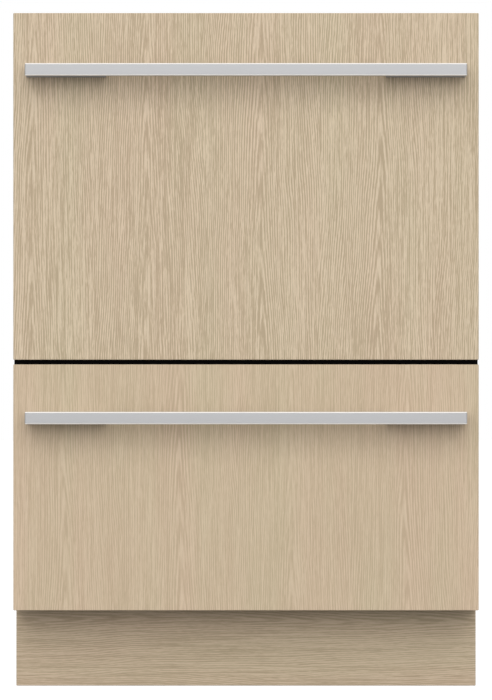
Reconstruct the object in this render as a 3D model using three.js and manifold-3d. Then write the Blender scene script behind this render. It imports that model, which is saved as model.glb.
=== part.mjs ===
// A built-in dishwasher with two drawers, one above the other, behind oak fronts with long aluminium
// handles and a recessed kick panel. Each drawer is a whole washer: a tub on telescopic slides, with its
// own pump, filter, spray arm, rack, detergent dispenser and lid.
//
// Millimetres. +X is to the right as seen from the front, +Y is to the back, +Z is up. The origin is on
// the floor, at the middle of the footprint. Inside a drawer's group, z = 0 is the rim of its tub.
import * as THREE from "three";
import { mergeVertices } from "three/addons/utils/BufferGeometryUtils.js";
import Module from "manifold-3d";

const wasm = await Module();
wasm.setup();

// ---------------------------------------------------------------- driving dimensions
// Whole unit
const unitWidth = 596;
const unitHeight = 868;
const chassisDepth = 552; // chassis front edge to rear face
const sheet = 1.2; // steel sheet of the chassis
const fit = 0.3; // gap between pieces that bear on each other
const slip = 0.5; // gap between pieces that slide on each other

// Fronts and kick panel
const panelThickness = 20;
const panelSetOff = 2; // back of a front to the chassis front edge
const lowerPanelHeight = 315;
const panelGap = 6; // black gap between the two fronts
const toeSpace = 103; // floor to the underside of the lower front
const kickRecess = 60; // face of the lower front to the face of the kick panel
const kickThickness = 18;
const kickFloorGap = 1;
const kickTopGap = 1.5;

// Handles
const handleReach = 36; // face of a front to the face of its bar
const handleEndInset = 17; // side of the unit to the end of the bar
const barHeight = 16;
const barThickness = 10;
const handleFootLength = 102;
const handleFootHeight = 15;
const upperHandleDrop = 75; // top edge of the front to the middle of the bar
const lowerHandleDrop = 68;

// Chassis
const baseHeight = 40; // floor to the underside of the base pan
const flangeWidth = 14; // front and rear returns of the side panels
const panSideHeight = 30;
const panFrontHeight = 55;
const panRearHeight = 6;
const midRailHeight = 20;
const midRailDepth = 30;

// Levelling feet
const footSideInset = 43; // side of the unit to the foot's axis
const footFrontInset = 45; // back of the kick panel to the axis of a front foot
const footRearInset = 45; // rear face to the axis of a rear foot
const footPadRadius = 23;
const footPadHeight = 8;
const footConeHeight = 6; // top of the pad to the collar
const footCollarRadius = 12;
const footNutHeight = 14;
const footNutRise = 2; // nut beyond the collar
const footStemRadius = 5;
const footStemRise = 34; // stem above the underside of the base pan
const footBossRadius = 15;
const footBossHeight = 12;

// Telescopic slides
const slideLength = 500;
const slideSheet = 1.5;
const slideHeight = 45;
const slideDepth = 12; // web to lip of the outer rail
const slideDrop = 60; // tub rim to the middle of the slide
const slideSetBack = 4; // chassis front edge to the front end of the outer rail
const middleSetBack = 2; // front end of the outer rail to the front end of the middle rail
const notchMargin = 3; // room round a slide where it passes the front return

// Drawer fronts behind the oak
const frameDepth = 22;
const frameWall = 3;
const frameSideGap = 6; // inner edge of the front return to the side of the frame
const lowerFrameRise = 5; // underside of the lower front to the underside of its frame
const upperFrameTopGap = 18; // top of the unit to the top of the upper frame
const midRailClearance = 5; // middle rail to what passes above and below it
const screwPostRadius = 8;
const screwPostInset = 52;
const stiffenerOffset = 130;

// Control buttons, on the top edge of each drawer's frame
const buttonRadius = 6;
const buttonFlangeRadius = 8;
const buttonFlangeThickness = 4;
const buttonRise = 1.5;
const startButtonInset = 50; // side of the frame to the start button's axis
const buttonPitch = 36;

// Tubs
const tubWall = 3;
const tubFloor = 4;
const tubSideGap = 14; // inner edge of the front return to the side of the tub
const tubRearGap = 50; // outside of the rear wall to the rear face of the unit
const tubCornerRadius = 24;
const rimWidth = 8;
const rimThickness = 3;
const lowerHeadroom = 37; // tub rim to the middle rail above it
const upperHeadroom = 85; // tub rim to the top of the unit
const lowerUnderClearance = 4; // underside of the lower front to the lower pump
const sumpRadius = 90;
const sumpDepth = 14;

// Pump, filter and spray arm
const pumpRadius = 78;
const pumpHeight = 36;
const pumpFootRadius = 62;
const pumpFootHeight = 12;
const towerRadius = 9;
const towerRise = 20; // tub floor to the top of the pump's tower
const filterRadius = 105;
const filterThickness = 2.4;
const filterDomeRadius = 62;
const filterDomeRise = 6;
const filterHubWidth = 12;
const armRadius = 200; // axis to the tip of an arm
const armHubRadius = 22;
const armTipRadius = 13;
const armRootWidth = 34;
const armThickness = 10;
const armClearance = 11; // tub floor to the underside of the arms
const armHubDrop = 2; // hub below the arms
const armHubCap = 3; // hub over the end of the tower
const jetRadius = 4;
const jetRise = 2;
const jetPitch = 45;

// Rack
const wire = 4;
const rackSideGap = 10; // inside of the tub to the wires
const rackFrontGap = 29;
const rackRearGap = 8;
const rackClearance = 32; // tub floor to the lowest wires
const rackRimDrop = 12; // tub rim to the top wires
const rackRuns = 7; // wires that run front to back
const rackCrossings = 6; // wires that run side to side
const weld = 1; // depth that crossing wires melt into each other

// Folding plate comb and folding cup shelf
const combOffset = 30; // middle of the tub to the comb's axle
const combEndGap = 14;
const axleRadius = 2.5;
const tineHeight = 105;
const tineWidth = 3;
const tinePitch = 33;
const tineEndGap = 10; // end of the axle to the first tine, at least
const shelfWidth = 84;
const shelfLength = 290;
const shelfDrop = 104; // tub rim to the shelf's axle
const shelfArms = 6;
const shelfSeatLength = 13;
const shelfSeatHeight = 5;
const shelfSeatInset = 12; // end of the shelf to the middle of a seat

// Detergent dispenser
const dispenserWidth = 140;
const dispenserHeight = 66;
const dispenserDepth = 16;
const dispenserDrop = 30; // tub rim to its top edge
const dispenserOffset = 30; // middle of the tub to its left edge
const cupWidth = 46;
const cupHeight = 36;
const cupDepth = 12;
const doorLap = 4; // door over the edge of the cup
const doorThickness = 2.5;
const guideHeight = 4;
const guideLip = 2;

// Lids
const lidRise = 8; // lid seal above the rim while the drawer is free to open
const sealContact = 0.6; // seal above the rim once the lid is drawn down
const sealHeight = 6;
const sealWidth = 8;
const lidFrontGap = 4; // drawer frame to the lid
const lidSideInset = 6; // side of the rim to the side of the lid
const lidHeight = 16;
const lidWall = 3;
const lugWidth = 14;
const lugHeight = 7;
const lugInset = 70;

// Drain hoses and services
const hoseRadius = 8;
const hoseSteps = 30;
const hoseDrop = 16; // straight end below an elbow
const elbowWidth = 22;
const upperHosePlane = 11.5; // rear face to the middle of the upper drawer's hose
const lowerHosePlane = 31.5;
const upperElbowDrop = 200; // tub rim to the middle of the elbow
const lowerElbowDrop = 62;
const elbowOffset = 180; // middle of the unit to each elbow
const manifoldWidth = 96;
const manifoldDepth = 34;
const manifoldHeight = 36;
const stubOffset = 25;
const stubRise = 14;
const stubSetBack = 43; // rear face to the axes of the stubs
const spigotRadius = 10;
const spigotBoreRadius = 7;
const spigotSetBack = 1; // rear face to the mouth of the spigot
const spigotDepth = 10; // depth of its bore in the manifold
const barbRise = 1.5;
const barbWidth = 4;
const barbSetOff = 8; // manifold to the barb
const valveOffset = 130;
const valveWidth = 38;
const valveDepth = 52;
const valveHeight = 44;
const valvePortRadius = 13;
const valvePortLength = 18;
const valvePortWall = 4;
const valvePortRise = 6; // underside of the valve to its port
const strainerDepth = 3;
const coilRadius = 15;
const coilLength = 30;
const terminalOffset = -130;
const terminalWidth = 62;
const terminalDepth = 44;
const terminalHeight = 40;
const glandRadius = 11;
const glandLength = 22;
const glandNutRise = 4; // nut beyond the gland
const glandNutLength = 7;

// Flats round a round shape
const smallRound = 8;
const round = 12;
const wideRound = 20;

// ---------------------------------------------------------------- places that follow from them
const halfWidth = unitWidth / 2;
const overallDepth = handleReach + panelThickness + panelSetOff + chassisDepth;
const barFaceY = -overallDepth / 2;
const panelFaceY = barFaceY + handleReach;
const panelBackY = panelFaceY + panelThickness;
const chassisFrontY = panelBackY + panelSetOff;
const rearY = chassisFrontY + chassisDepth;
const kickFaceY = panelFaceY + kickRecess;
const kickBackY = kickFaceY + kickThickness;
const frameFrontY = panelBackY + fit;
const frameBackY = frameFrontY + frameDepth;
const barLength = unitWidth - 2 * handleEndInset;

const gapBottom = toeSpace + lowerPanelHeight;
const gapTop = gapBottom + panelGap;
const midRailBottom = (gapBottom + gapTop - midRailHeight) / 2;
const midRailTop = midRailBottom + midRailHeight;
const sideTop = unitHeight - sheet - fit;
const panFloorTop = baseHeight + sheet;

const sideInner = halfWidth - sheet;
const openingHalf = halfWidth - flangeWidth;
const frameHalf = openingHalf - frameSideGap;
const tubHalf = openingHalf - tubSideGap;
const tubFrontY = frameBackY + fit + rimWidth;
const tubRearY = rearY - tubRearGap;
const tubMidY = (tubFrontY + tubRearY) / 2;
const tubInnerHalf = tubHalf - tubWall;
const tubInnerFrontY = tubFrontY + tubWall;
const tubInnerRearY = tubRearY - tubWall;
const rimHalf = tubHalf + rimWidth;
const rimFrontY = tubFrontY - rimWidth;
const rimRearY = tubRearY + rimWidth;

// Sections of the slides, from the side panel inwards: outer rail, middle rail, runner on the tub
const outerWeb = sideInner - fit;
const outerLip = outerWeb - slideDepth;
const middleWeb = outerWeb - slideSheet - slip;
const middleLip = outerLip - slip;
const runnerFace = middleWeb - slideSheet - slip;
const outerHalfHeight = slideHeight / 2;
const middleHalfHeight = outerHalfHeight - slideSheet - slip;
const runnerHalfHeight = middleHalfHeight - slideSheet - slip;
const outerFrontY = chassisFrontY + slideSetBack;
const middleFrontY = outerFrontY + middleSetBack;
const middleRearY = outerFrontY + slideLength - middleSetBack;

// Lid stack, above the tub rim
const sealBottom = sealContact + lidRise;
const lidBottom = sealBottom + sealHeight + fit;
const lidFrontY = frameBackY + lidFrontGap;
const lidHalf = rimHalf - lidSideInset;
const lidRearY = rimRearY - lidSideInset;
const lugBottom = lidBottom + (lidHeight - lugHeight) / 2;
const lugTop = lugBottom + lugHeight;

// The two drawers
const pumpStack = tubFloor + sumpDepth + fit + pumpHeight; // tub floor to the underside of the pump
const lowerRim = midRailBottom - lowerHeadroom;
const upperRim = unitHeight - upperHeadroom;
const drawers = [
  {
    name: "lower",
    rim: lowerRim,
    floor: toeSpace + lowerUnderClearance + pumpStack - lowerRim,
    panelBottom: toeSpace,
    panelTop: gapBottom,
    frameBottom: toeSpace + lowerFrameRise,
    frameTop: midRailBottom - midRailClearance,
    handleZ: gapBottom - lowerHandleDrop,
    elbow: { x: elbowOffset, y: rearY - lowerHosePlane, z: -lowerElbowDrop },
  },
  {
    name: "upper",
    rim: upperRim,
    floor: midRailTop + midRailClearance + pumpStack - upperRim,
    panelBottom: gapTop,
    panelTop: unitHeight,
    frameBottom: midRailTop + midRailClearance,
    frameTop: unitHeight - upperFrameTopGap,
    handleZ: unitHeight - upperHandleDrop,
    elbow: { x: -elbowOffset, y: rearY - upperHosePlane, z: -upperElbowDrop },
  },
];

// ---------------------------------------------------------------- materials
function finish(color, roughness, metalness) {
  return new THREE.MeshStandardMaterial({ color, roughness, metalness });
}

const oak = finish(0xc8b498, 0.6, 0);
const kickOak = finish(0xb5a288, 0.6, 0);
const aluminium = finish(0xc4c4c6, 0.35, 0.9);
const galvanised = finish(0x9fa3a6, 0.45, 0.8);
const blackSteel = finish(0x0a0a0a, 0.6, 0.2);
const slideSteel = finish(0xa9adb1, 0.35, 0.9);
const tubPlastic = finish(0xb9bdc0, 0.45, 0);
const darkPlastic = finish(0x2b2d30, 0.5, 0);
const palePlastic = finish(0xd9dbdc, 0.5, 0);
const rackWire = finish(0x8f959a, 0.4, 0);
const rubber = finish(0x1c1c1d, 0.8, 0);

// ---------------------------------------------------------------- shapes, joins and cuts
function solid(geometry) {
  const bare = new THREE.BufferGeometry();
  bare.setAttribute("position", geometry.getAttribute("position"));
  bare.setIndex(geometry.index);
  const merged = mergeVertices(bare, 1e-4);
  const vertProperties = merged.attributes.position.array;
  const triVerts = new Uint32Array(merged.index.array);
  return new wasm.Manifold(new wasm.Mesh({ numProp: 3, vertProperties, triVerts }));
}

const join = (...solids) => solids.reduce((sum, next) => sum.add(next));
const cut = (body, ...tools) => tools.reduce((rest, tool) => rest.subtract(tool), body);

// A block between two x, two y and two z values, each pair in any order.
function block(xs, ys, zs) {
  const spans = [xs, ys, zs].map((pair) => Math.abs(pair[1] - pair[0]));
  const middles = [xs, ys, zs].map((pair) => (pair[0] + pair[1]) / 2);
  return solid(new THREE.BoxGeometry(...spans).translate(...middles));
}

// Round bars along X, Y or Z, between two values on that axis, round the point (a, b) on the other two.
function barX(radius, xs, [y, z], sides) {
  const bar = new THREE.CylinderGeometry(radius, radius, Math.abs(xs[1] - xs[0]), sides);
  return solid(bar.rotateZ(Math.PI / 2).translate((xs[0] + xs[1]) / 2, y, z));
}

function barY(radius, ys, [x, z], sides) {
  const bar = new THREE.CylinderGeometry(radius, radius, Math.abs(ys[1] - ys[0]), sides);
  return solid(bar.translate(x, (ys[0] + ys[1]) / 2, z));
}

function barZ(radius, zs, [x, y], sides) {
  const bar = new THREE.CylinderGeometry(radius, radius, Math.abs(zs[1] - zs[0]), sides);
  return solid(bar.rotateX(Math.PI / 2).translate(x, y, (zs[0] + zs[1]) / 2));
}

// A plate with rounded corners, between two heights.
function roundedPlate([x0, x1], [y0, y1], [z0, z1], radius) {
  const outline = new THREE.Shape();
  outline.moveTo(x0 + radius, y0);
  outline.lineTo(x1 - radius, y0);
  outline.absarc(x1 - radius, y0 + radius, radius, -Math.PI / 2, 0);
  outline.lineTo(x1, y1 - radius);
  outline.absarc(x1 - radius, y1 - radius, radius, 0, Math.PI / 2);
  outline.lineTo(x0 + radius, y1);
  outline.absarc(x0 + radius, y1 - radius, radius, Math.PI / 2, Math.PI);
  outline.lineTo(x0, y0 + radius);
  outline.absarc(x0 + radius, y0 + radius, radius, Math.PI, Math.PI * 1.5);
  const settings = { depth: z1 - z0, bevelEnabled: false, curveSegments: 3 };
  return solid(new THREE.ExtrudeGeometry(outline, settings).translate(0, 0, z0));
}

// A body turned about Z from [radius, z] pairs. A profile that starts and ends on the axis is solid, and
// any other closes on itself.
function turned(profile, sides) {
  const onAxis = profile[0][0] === 0 && profile.at(-1)[0] === 0;
  const closed = onAxis ? profile : [...profile, profile[0]];
  const points = closed.map(([r, z]) => new THREE.Vector2(r, z));
  return solid(new THREE.LatheGeometry(points, sides).rotateX(Math.PI / 2));
}

// A smooth tube of flat-sided section through points.
function tube(points, radius) {
  const section = new THREE.Shape();
  for (let i = 0; i < smallRound; i++) {
    const angle = (i / smallRound) * Math.PI * 2;
    const place = [radius * Math.cos(angle), radius * Math.sin(angle)];
    if (i === 0) section.moveTo(...place);
    else section.lineTo(...place);
  }
  const extrudePath = new THREE.CatmullRomCurve3(points.map((p) => new THREE.Vector3(...p)));
  return solid(new THREE.ExtrudeGeometry(section, { steps: hoseSteps, extrudePath, bevelEnabled: false }));
}

function piece(name, material, body, place = [0, 0, 0]) {
  const { vertProperties, triVerts } = body.getMesh();
  const indexed = new THREE.BufferGeometry();
  indexed.setAttribute("position", new THREE.BufferAttribute(vertProperties, 3));
  indexed.setIndex(new THREE.BufferAttribute(triVerts, 1));
  const geometry = indexed.toNonIndexed();
  geometry.computeVertexNormals();
  const mesh = new THREE.Mesh(geometry, material);
  mesh.name = name;
  mesh.position.set(...place);
  return mesh;
}

// Evenly spaced values from first to last, both included.
function spread(first, last, count) {
  return Array.from({ length: count }, (_, i) => first + ((last - first) * i) / (count - 1));
}

const sides = [
  { word: "left", sign: -1 },
  { word: "right", sign: 1 },
];

// ---------------------------------------------------------------- chassis
// A sheet with a return at the front and the rear, open at the toe space, with notches where the slides
// come out and upright slots that the lids' lugs ride in.
function sidePanel({ word, sign }) {
  const at = (x) => sign * x;
  const rearReturnY = rearY - sheet - fit;
  const web = block([at(sideInner), at(halfWidth)], [chassisFrontY, rearReturnY], [baseHeight, sideTop]);
  const frontReturn = block(
    [at(openingHalf), at(halfWidth)],
    [chassisFrontY, chassisFrontY + sheet],
    [baseHeight, sideTop],
  );
  const rearReturn = block(
    [at(openingHalf), at(halfWidth)],
    [rearReturnY - sheet, rearReturnY],
    [toeSpace, sideTop],
  );
  const toeNotch = block(
    [at(openingHalf - 1), at(halfWidth + 1)],
    [chassisFrontY - 1, kickBackY + fit],
    [baseHeight - 1, toeSpace],
  );
  const openings = drawers.flatMap(({ rim }) => {
    const slideZ = rim - slideDrop;
    const reach = outerHalfHeight + notchMargin;
    const notch = block(
      [at(openingHalf - 1), at(sideInner)],
      [chassisFrontY - 1, chassisFrontY + sheet + 1],
      [slideZ - reach, slideZ + reach],
    );
    const slots = lugPlaces().map((y) =>
      block(
        [at(sideInner - 1), at(halfWidth + 1)],
        [y - lugWidth / 2 - fit, y + lugWidth / 2 + fit],
        [rim + lugBottom - lidRise - fit, rim + lugTop + fit],
      ),
    );
    return [notch, ...slots];
  });
  const body = cut(join(web, frontReturn, rearReturn), toeNotch, ...openings);
  return piece(`${word}_side_panel`, galvanised, body);
}

// The lugs' middles along Y.
function lugPlaces() {
  return [lidFrontY + lugInset, lidRearY - lugInset];
}

function footPlaces() {
  const x = halfWidth - footSideInset;
  const front = kickBackY + footFrontInset;
  const rear = rearY - footRearInset;
  return { front_left: [-x, front], front_right: [x, front], rear_left: [-x, rear], rear_right: [x, rear] };
}

// A tray that carries everything: upturned edges, and a threaded boss for each levelling foot.
function basePan() {
  const outX = sideInner - fit;
  const frontY = kickBackY + fit;
  const backY = rearY - sheet - fit - sheet - fit;
  const floor = block([-outX, outX], [frontY, backY], [baseHeight, panFloorTop]);
  const front = block([-outX, outX], [frontY, frontY + sheet], [baseHeight, baseHeight + panFrontHeight]);
  const rear = block([-outX, outX], [backY - sheet, backY], [baseHeight, baseHeight + panRearHeight]);
  const edges = [-1, 1].map((s) =>
    block([s * (outX - sheet), s * outX], [frontY, backY], [baseHeight, baseHeight + panSideHeight]),
  );
  const places = Object.values(footPlaces());
  const bossTop = baseHeight + footBossHeight;
  const bosses = places.map((xy) => barZ(footBossRadius, [baseHeight, bossTop], xy, round));
  const holes = places.map((xy) => barZ(footStemRadius + slip, [baseHeight - 1, bossTop + 1], xy, round));
  return piece("base_pan", galvanised, cut(join(floor, front, rear, ...edges, ...bosses), ...holes));
}

function levellingFoot(name, [x, y]) {
  const nutTop = baseHeight - fit;
  const body = turned(
    [
      [0, 0],
      [footPadRadius, 0],
      [footPadRadius, footPadHeight],
      [footCollarRadius, footPadHeight + footConeHeight],
      [footCollarRadius, nutTop - footNutHeight],
      [footCollarRadius + footNutRise, nutTop - footNutHeight],
      [footCollarRadius + footNutRise, nutTop],
      [footStemRadius, nutTop],
      [footStemRadius, baseHeight + footStemRise],
      [0, baseHeight + footStemRise],
    ],
    round,
  );
  return piece(`${name}_foot`, darkPlastic, body, [x, y, 0]);
}

function rearPanel() {
  const x = halfWidth - fit;
  return piece("rear_panel", galvanised, block([-x, x], [rearY - sheet, rearY], [toeSpace, sideTop]));
}

function topPanel() {
  const lipHalf = openingHalf - fit;
  const plate = block([-halfWidth, halfWidth], [chassisFrontY, rearY], [unitHeight - sheet, unitHeight]);
  const lip = block(
    [-lipHalf, lipHalf],
    [chassisFrontY, chassisFrontY + sheet],
    [unitHeight - flangeWidth, unitHeight],
  );
  return piece("top_panel", galvanised, join(plate, lip));
}

// The black channel between the drawers. Its face covers the whole width and shows through the gap.
function middleRail() {
  const faceY = chassisFrontY - fit - sheet;
  const innerHalf = openingHalf - fit;
  const face = block([-halfWidth, halfWidth], [faceY, faceY + sheet], [midRailBottom, midRailTop]);
  const flanges = [midRailBottom, midRailTop - sheet].map((z) =>
    block([-innerHalf, innerHalf], [faceY, faceY + midRailDepth], [z, z + sheet]),
  );
  return piece("middle_rail", blackSteel, join(face, ...flanges));
}

function kickPanel() {
  const body = block(
    [-halfWidth, halfWidth],
    [kickFaceY, kickBackY],
    [kickFloorGap, toeSpace - kickTopGap],
  );
  return piece("kick_panel", kickOak, body);
}

// A C-shaped rail that opens inwards.
function channel(sign, web, lip, halfHeight, ys) {
  const x = (value) => sign * value;
  const back = block([x(web - slideSheet), x(web)], ys, [-halfHeight, halfHeight]);
  const lips = [-halfHeight, halfHeight - slideSheet].map((z) =>
    block([x(lip), x(web)], ys, [z, z + slideSheet]),
  );
  return join(back, ...lips);
}

function slides({ name, rim }) {
  const z = rim - slideDrop;
  return sides.flatMap(({ word, sign }) => [
    piece(
      `${name}_${word}_outer_rail`,
      slideSteel,
      channel(sign, outerWeb, outerLip, outerHalfHeight, [outerFrontY, outerFrontY + slideLength]),
      [0, 0, z],
    ),
    piece(
      `${name}_${word}_middle_rail`,
      slideSteel,
      channel(sign, middleWeb, middleLip, middleHalfHeight, [middleFrontY, middleRearY]),
      [0, 0, z],
    ),
  ]);
}

// ---------------------------------------------------------------- services at the back of the base pan
function drainManifold() {
  const bottom = panFloorTop + fit;
  const stubY = rearY - stubSetBack;
  const top = bottom + manifoldHeight;
  const spigotZ = bottom + manifoldHeight / 2;
  const backY = stubY + manifoldDepth / 2;
  const half = manifoldWidth / 2;
  const body = block([-half, half], [stubY - manifoldDepth / 2, backY], [bottom, top]);
  const stubs = [-stubOffset, stubOffset].map((x) =>
    barZ(hoseRadius, [top - 1, top + stubRise], [x, stubY], smallRound),
  );
  const spigot = barY(spigotRadius, [backY - 1, rearY - spigotSetBack], [0, spigotZ], round);
  const barbY = backY + barbSetOff;
  const barb = barY(spigotRadius + barbRise, [barbY, barbY + barbWidth], [0, spigotZ], round);
  const bore = barY(spigotBoreRadius, [backY - spigotDepth, rearY], [0, spigotZ], round);
  return piece("drain_manifold", darkPlastic, cut(join(body, ...stubs, spigot, barb), bore));
}

// A solenoid valve with its coil on top and a threaded inlet that faces the rear.
function inletValve() {
  const bottom = panFloorTop + fit;
  const portEndY = rearY - spigotSetBack;
  const backY = portEndY - valvePortLength;
  const midY = backY - valveDepth / 2;
  const portZ = bottom + valvePortRise + valvePortRadius;
  const halfBody = valveWidth / 2;
  const bodyTop = bottom + valveHeight - coilLength / 2;
  const body = block([-halfBody, halfBody], [backY - valveDepth, backY], [bottom, bodyTop]);
  const coil = barZ(coilRadius, [bodyTop - 1, bodyTop + coilLength - 1], [0, midY], round);
  const port = barY(valvePortRadius, [backY - 1, portEndY], [0, portZ], round);
  const strainerRadius = valvePortRadius - valvePortWall;
  const strainer = barY(strainerRadius, [portEndY - strainerDepth, portEndY + 1], [0, portZ], round);
  return piece("inlet_valve", palePlastic, cut(join(body, coil, port), strainer), [valveOffset, 0, 0]);
}

function terminalBox() {
  const bottom = panFloorTop + fit;
  const glandEndY = rearY - spigotSetBack;
  const backY = glandEndY - glandLength;
  const half = terminalWidth / 2;
  const midZ = bottom + terminalHeight / 2;
  const box = block([-half, half], [backY - terminalDepth, backY], [bottom, bottom + terminalHeight]);
  const gland = barY(glandRadius, [backY - 1, glandEndY], [0, midZ], round);
  const nut = barY(glandRadius + glandNutRise, [backY - 1, backY + glandNutLength], [0, midZ], 6);
  return piece("terminal_box", darkPlastic, join(box, gland, nut), [terminalOffset, 0, 0]);
}

// The hoses hang in two planes behind the tubs, with the slack that a fully open drawer takes up. Each
// runs from its tub's elbow to a stub of the manifold.
function drainHoses() {
  const stubY = rearY - stubSetBack;
  const stubTop = panFloorTop + fit + manifoldHeight + stubRise + fit;
  const [lower, upper] = drawers;
  const start = ({ rim, elbow }) => rim + elbow.z - elbowWidth / 2 - fit;
  const upperY = upper.elbow.y;
  const lowerY = lower.elbow.y;
  const upperRoute = [
    [upper.elbow.x, upperY, start(upper)],
    [upper.elbow.x, upperY, start(upper) - hoseDrop],
    [-150, upperY, 530],
    [-70, upperY, 523],
    [30, upperY, 523],
    [130, upperY, 520],
    [180, upperY, 492],
    [168, upperY, 455],
    [110, upperY, 443],
    [20, upperY, 443],
    [-80, upperY, 440],
    [-150, upperY, 420],
    [-180, upperY, 370],
    [-176, upperY, 300],
    [-140, upperY, 238],
    [-80, upperY, 208],
    [-22, upperY - 2, 190],
    [12, upperY - 10, 162],
    [stubOffset - 1, stubY + 8, 126],
    [stubOffset, stubY, stubTop + 12],
    [stubOffset, stubY, stubTop],
  ];
  const lowerRoute = [
    [lower.elbow.x, lowerY, start(lower)],
    [lower.elbow.x, lowerY, start(lower) - hoseDrop],
    [158, lowerY, 262],
    [90, lowerY, 250],
    [0, lowerY, 247],
    [-100, lowerY, 244],
    [-172, lowerY, 226],
    [-186, lowerY, 190],
    [-150, lowerY, 164],
    [-90, lowerY, 160],
    [-46, lowerY, 142],
    [-stubOffset - 2, stubY + 6, 118],
    [-stubOffset, stubY, stubTop + 10],
    [-stubOffset, stubY, stubTop],
  ];
  return [
    piece("lower_drain_hose", rubber, tube(lowerRoute, hoseRadius)),
    piece("upper_drain_hose", rubber, tube(upperRoute, hoseRadius)),
  ];
}

// ---------------------------------------------------------------- drawer fronts and handles
function frontPanel({ name, rim, panelBottom, panelTop }) {
  const body = block([-halfWidth, halfWidth], [panelFaceY, panelBackY], [panelBottom, panelTop]);
  return piece(`${name}_front_panel`, oak, body, [0, 0, -rim]);
}

// A flat bar on two broad feet that stand flush with its ends.
function handle({ name, rim, handleZ }) {
  const backY = barFaceY + barThickness;
  const bar = block([-barLength / 2, barLength / 2], [barFaceY, backY], [-barHeight / 2, barHeight / 2]);
  const foot = block(
    [-handleFootLength / 2, handleFootLength / 2],
    [backY + fit, panelFaceY - fit],
    [-handleFootHeight / 2, handleFootHeight / 2],
  );
  const z = handleZ - rim;
  const footX = barLength / 2 - handleFootLength / 2;
  return [
    piece(`${name}_handle_bar`, aluminium, bar, [0, 0, z]),
    ...sides.map(({ word, sign }) =>
      piece(`${name}_${word}_handle_foot`, aluminium, foot, [sign * footX, 0, z]),
    ),
  ];
}

function buttonPlaces() {
  const start = frameHalf - startButtonInset;
  return { power: start - buttonPitch, start };
}

// The moulding behind the oak: a shallow tray with screw posts and stiffeners, and two holes in its top
// edge for the buttons.
function drawerFrame({ name, rim, frameBottom, frameTop }) {
  const backWallY = frameBackY - frameWall;
  const outer = block([-frameHalf, frameHalf], [frameFrontY, frameBackY], [frameBottom, frameTop]);
  const hollow = block(
    [-frameHalf + frameWall, frameHalf - frameWall],
    [frameFrontY - 1, backWallY],
    [frameBottom + frameWall, frameTop - frameWall],
  );
  const postX = frameHalf - screwPostInset;
  const posts = [-postX, postX].flatMap((x) =>
    [frameBottom + screwPostInset, frameTop - screwPostInset].map((z) =>
      barY(screwPostRadius, [frameFrontY, backWallY + 1], [x, z], smallRound),
    ),
  );
  const stiffeners = [-stiffenerOffset, stiffenerOffset].map((x) =>
    block([x - frameWall / 2, x + frameWall / 2], [frameFrontY, backWallY + 1], [frameBottom, frameTop]),
  );
  const buttonY = (frameFrontY + backWallY) / 2;
  const holes = Object.values(buttonPlaces()).map((x) =>
    barZ(buttonRadius + slip, [frameTop - frameWall - 1, frameTop + 1], [x, buttonY], round),
  );
  const body = cut(join(cut(outer, hollow), ...posts, ...stiffeners), ...holes);
  return piece(`${name}_drawer_frame`, darkPlastic, body, [0, 0, -rim]);
}

// Push buttons with a flange that keeps them in the frame's top wall.
function buttons({ name, rim, frameTop }) {
  const flangeTop = -frameWall - fit;
  const body = turned(
    [
      [0, flangeTop - buttonFlangeThickness],
      [buttonFlangeRadius, flangeTop - buttonFlangeThickness],
      [buttonFlangeRadius, flangeTop],
      [buttonRadius, flangeTop],
      [buttonRadius, buttonRise],
      [0, buttonRise],
    ],
    round,
  );
  const y = (frameFrontY + frameBackY - frameWall) / 2;
  return Object.entries(buttonPlaces()).map(([word, x]) =>
    piece(`${name}_${word}_button`, palePlastic, body, [x, y, frameTop - rim]),
  );
}

// ---------------------------------------------------------------- tub
// One moulding: walls, a rim that the lid seals on, a runner on each side, a round sump and, at the back,
// the elbow that the drain hose hangs from.
function tub({ name, floor, elbow }) {
  const outerBottom = floor - tubFloor;
  const shell = roundedPlate([-tubHalf, tubHalf], [tubFrontY, tubRearY], [outerBottom, 0], tubCornerRadius);
  const rimPlate = roundedPlate(
    [-rimHalf, rimHalf],
    [rimFrontY, rimRearY],
    [-rimThickness, 0],
    tubCornerRadius + rimWidth,
  );
  const runners = [-1, 1].map((s) =>
    block(
      [s * (tubHalf - 1), s * runnerFace],
      [tubFrontY, tubRearY],
      [-slideDrop - runnerHalfHeight, -slideDrop + runnerHalfHeight],
    ),
  );
  const sumpBottom = outerBottom - sumpDepth;
  const middle = [0, tubMidY];
  const sump = barZ(sumpRadius + tubWall, [sumpBottom, outerBottom + 1], middle, wideRound);
  const half = elbowWidth / 2;
  const outlet = block(
    [elbow.x - half, elbow.x + half],
    [tubRearY - 1, elbow.y + hoseRadius],
    [elbow.z - half, elbow.z + half],
  );
  const hollow = roundedPlate(
    [-tubInnerHalf, tubInnerHalf],
    [tubInnerFrontY, tubInnerRearY],
    [floor, 1],
    tubCornerRadius - tubWall,
  );
  const sumpHollow = barZ(sumpRadius, [floor - sumpDepth, floor + 1], middle, wideRound);
  const towerHole = barZ(towerRadius + slip, [sumpBottom - 1, floor], middle, round);
  const body = cut(join(shell, rimPlate, ...runners, sump, outlet), hollow, sumpHollow, towerHole);
  return piece(`${name}_tub`, tubPlastic, body);
}

// The pump and motor hang under the sump. The tower comes up through it to carry the spray arm.
function washPump({ name, floor }) {
  const top = floor - sumpDepth - tubFloor - fit;
  const bottom = top - pumpHeight;
  const body = turned(
    [
      [0, bottom],
      [pumpFootRadius, bottom],
      [pumpFootRadius, bottom + pumpFootHeight],
      [pumpRadius, bottom + pumpFootHeight],
      [pumpRadius, top],
      [towerRadius, top],
      [towerRadius, floor + towerRise],
      [0, floor + towerRise],
    ],
    wideRound,
  );
  return piece(`${name}_wash_pump`, darkPlastic, body, [0, tubMidY, 0]);
}

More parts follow.
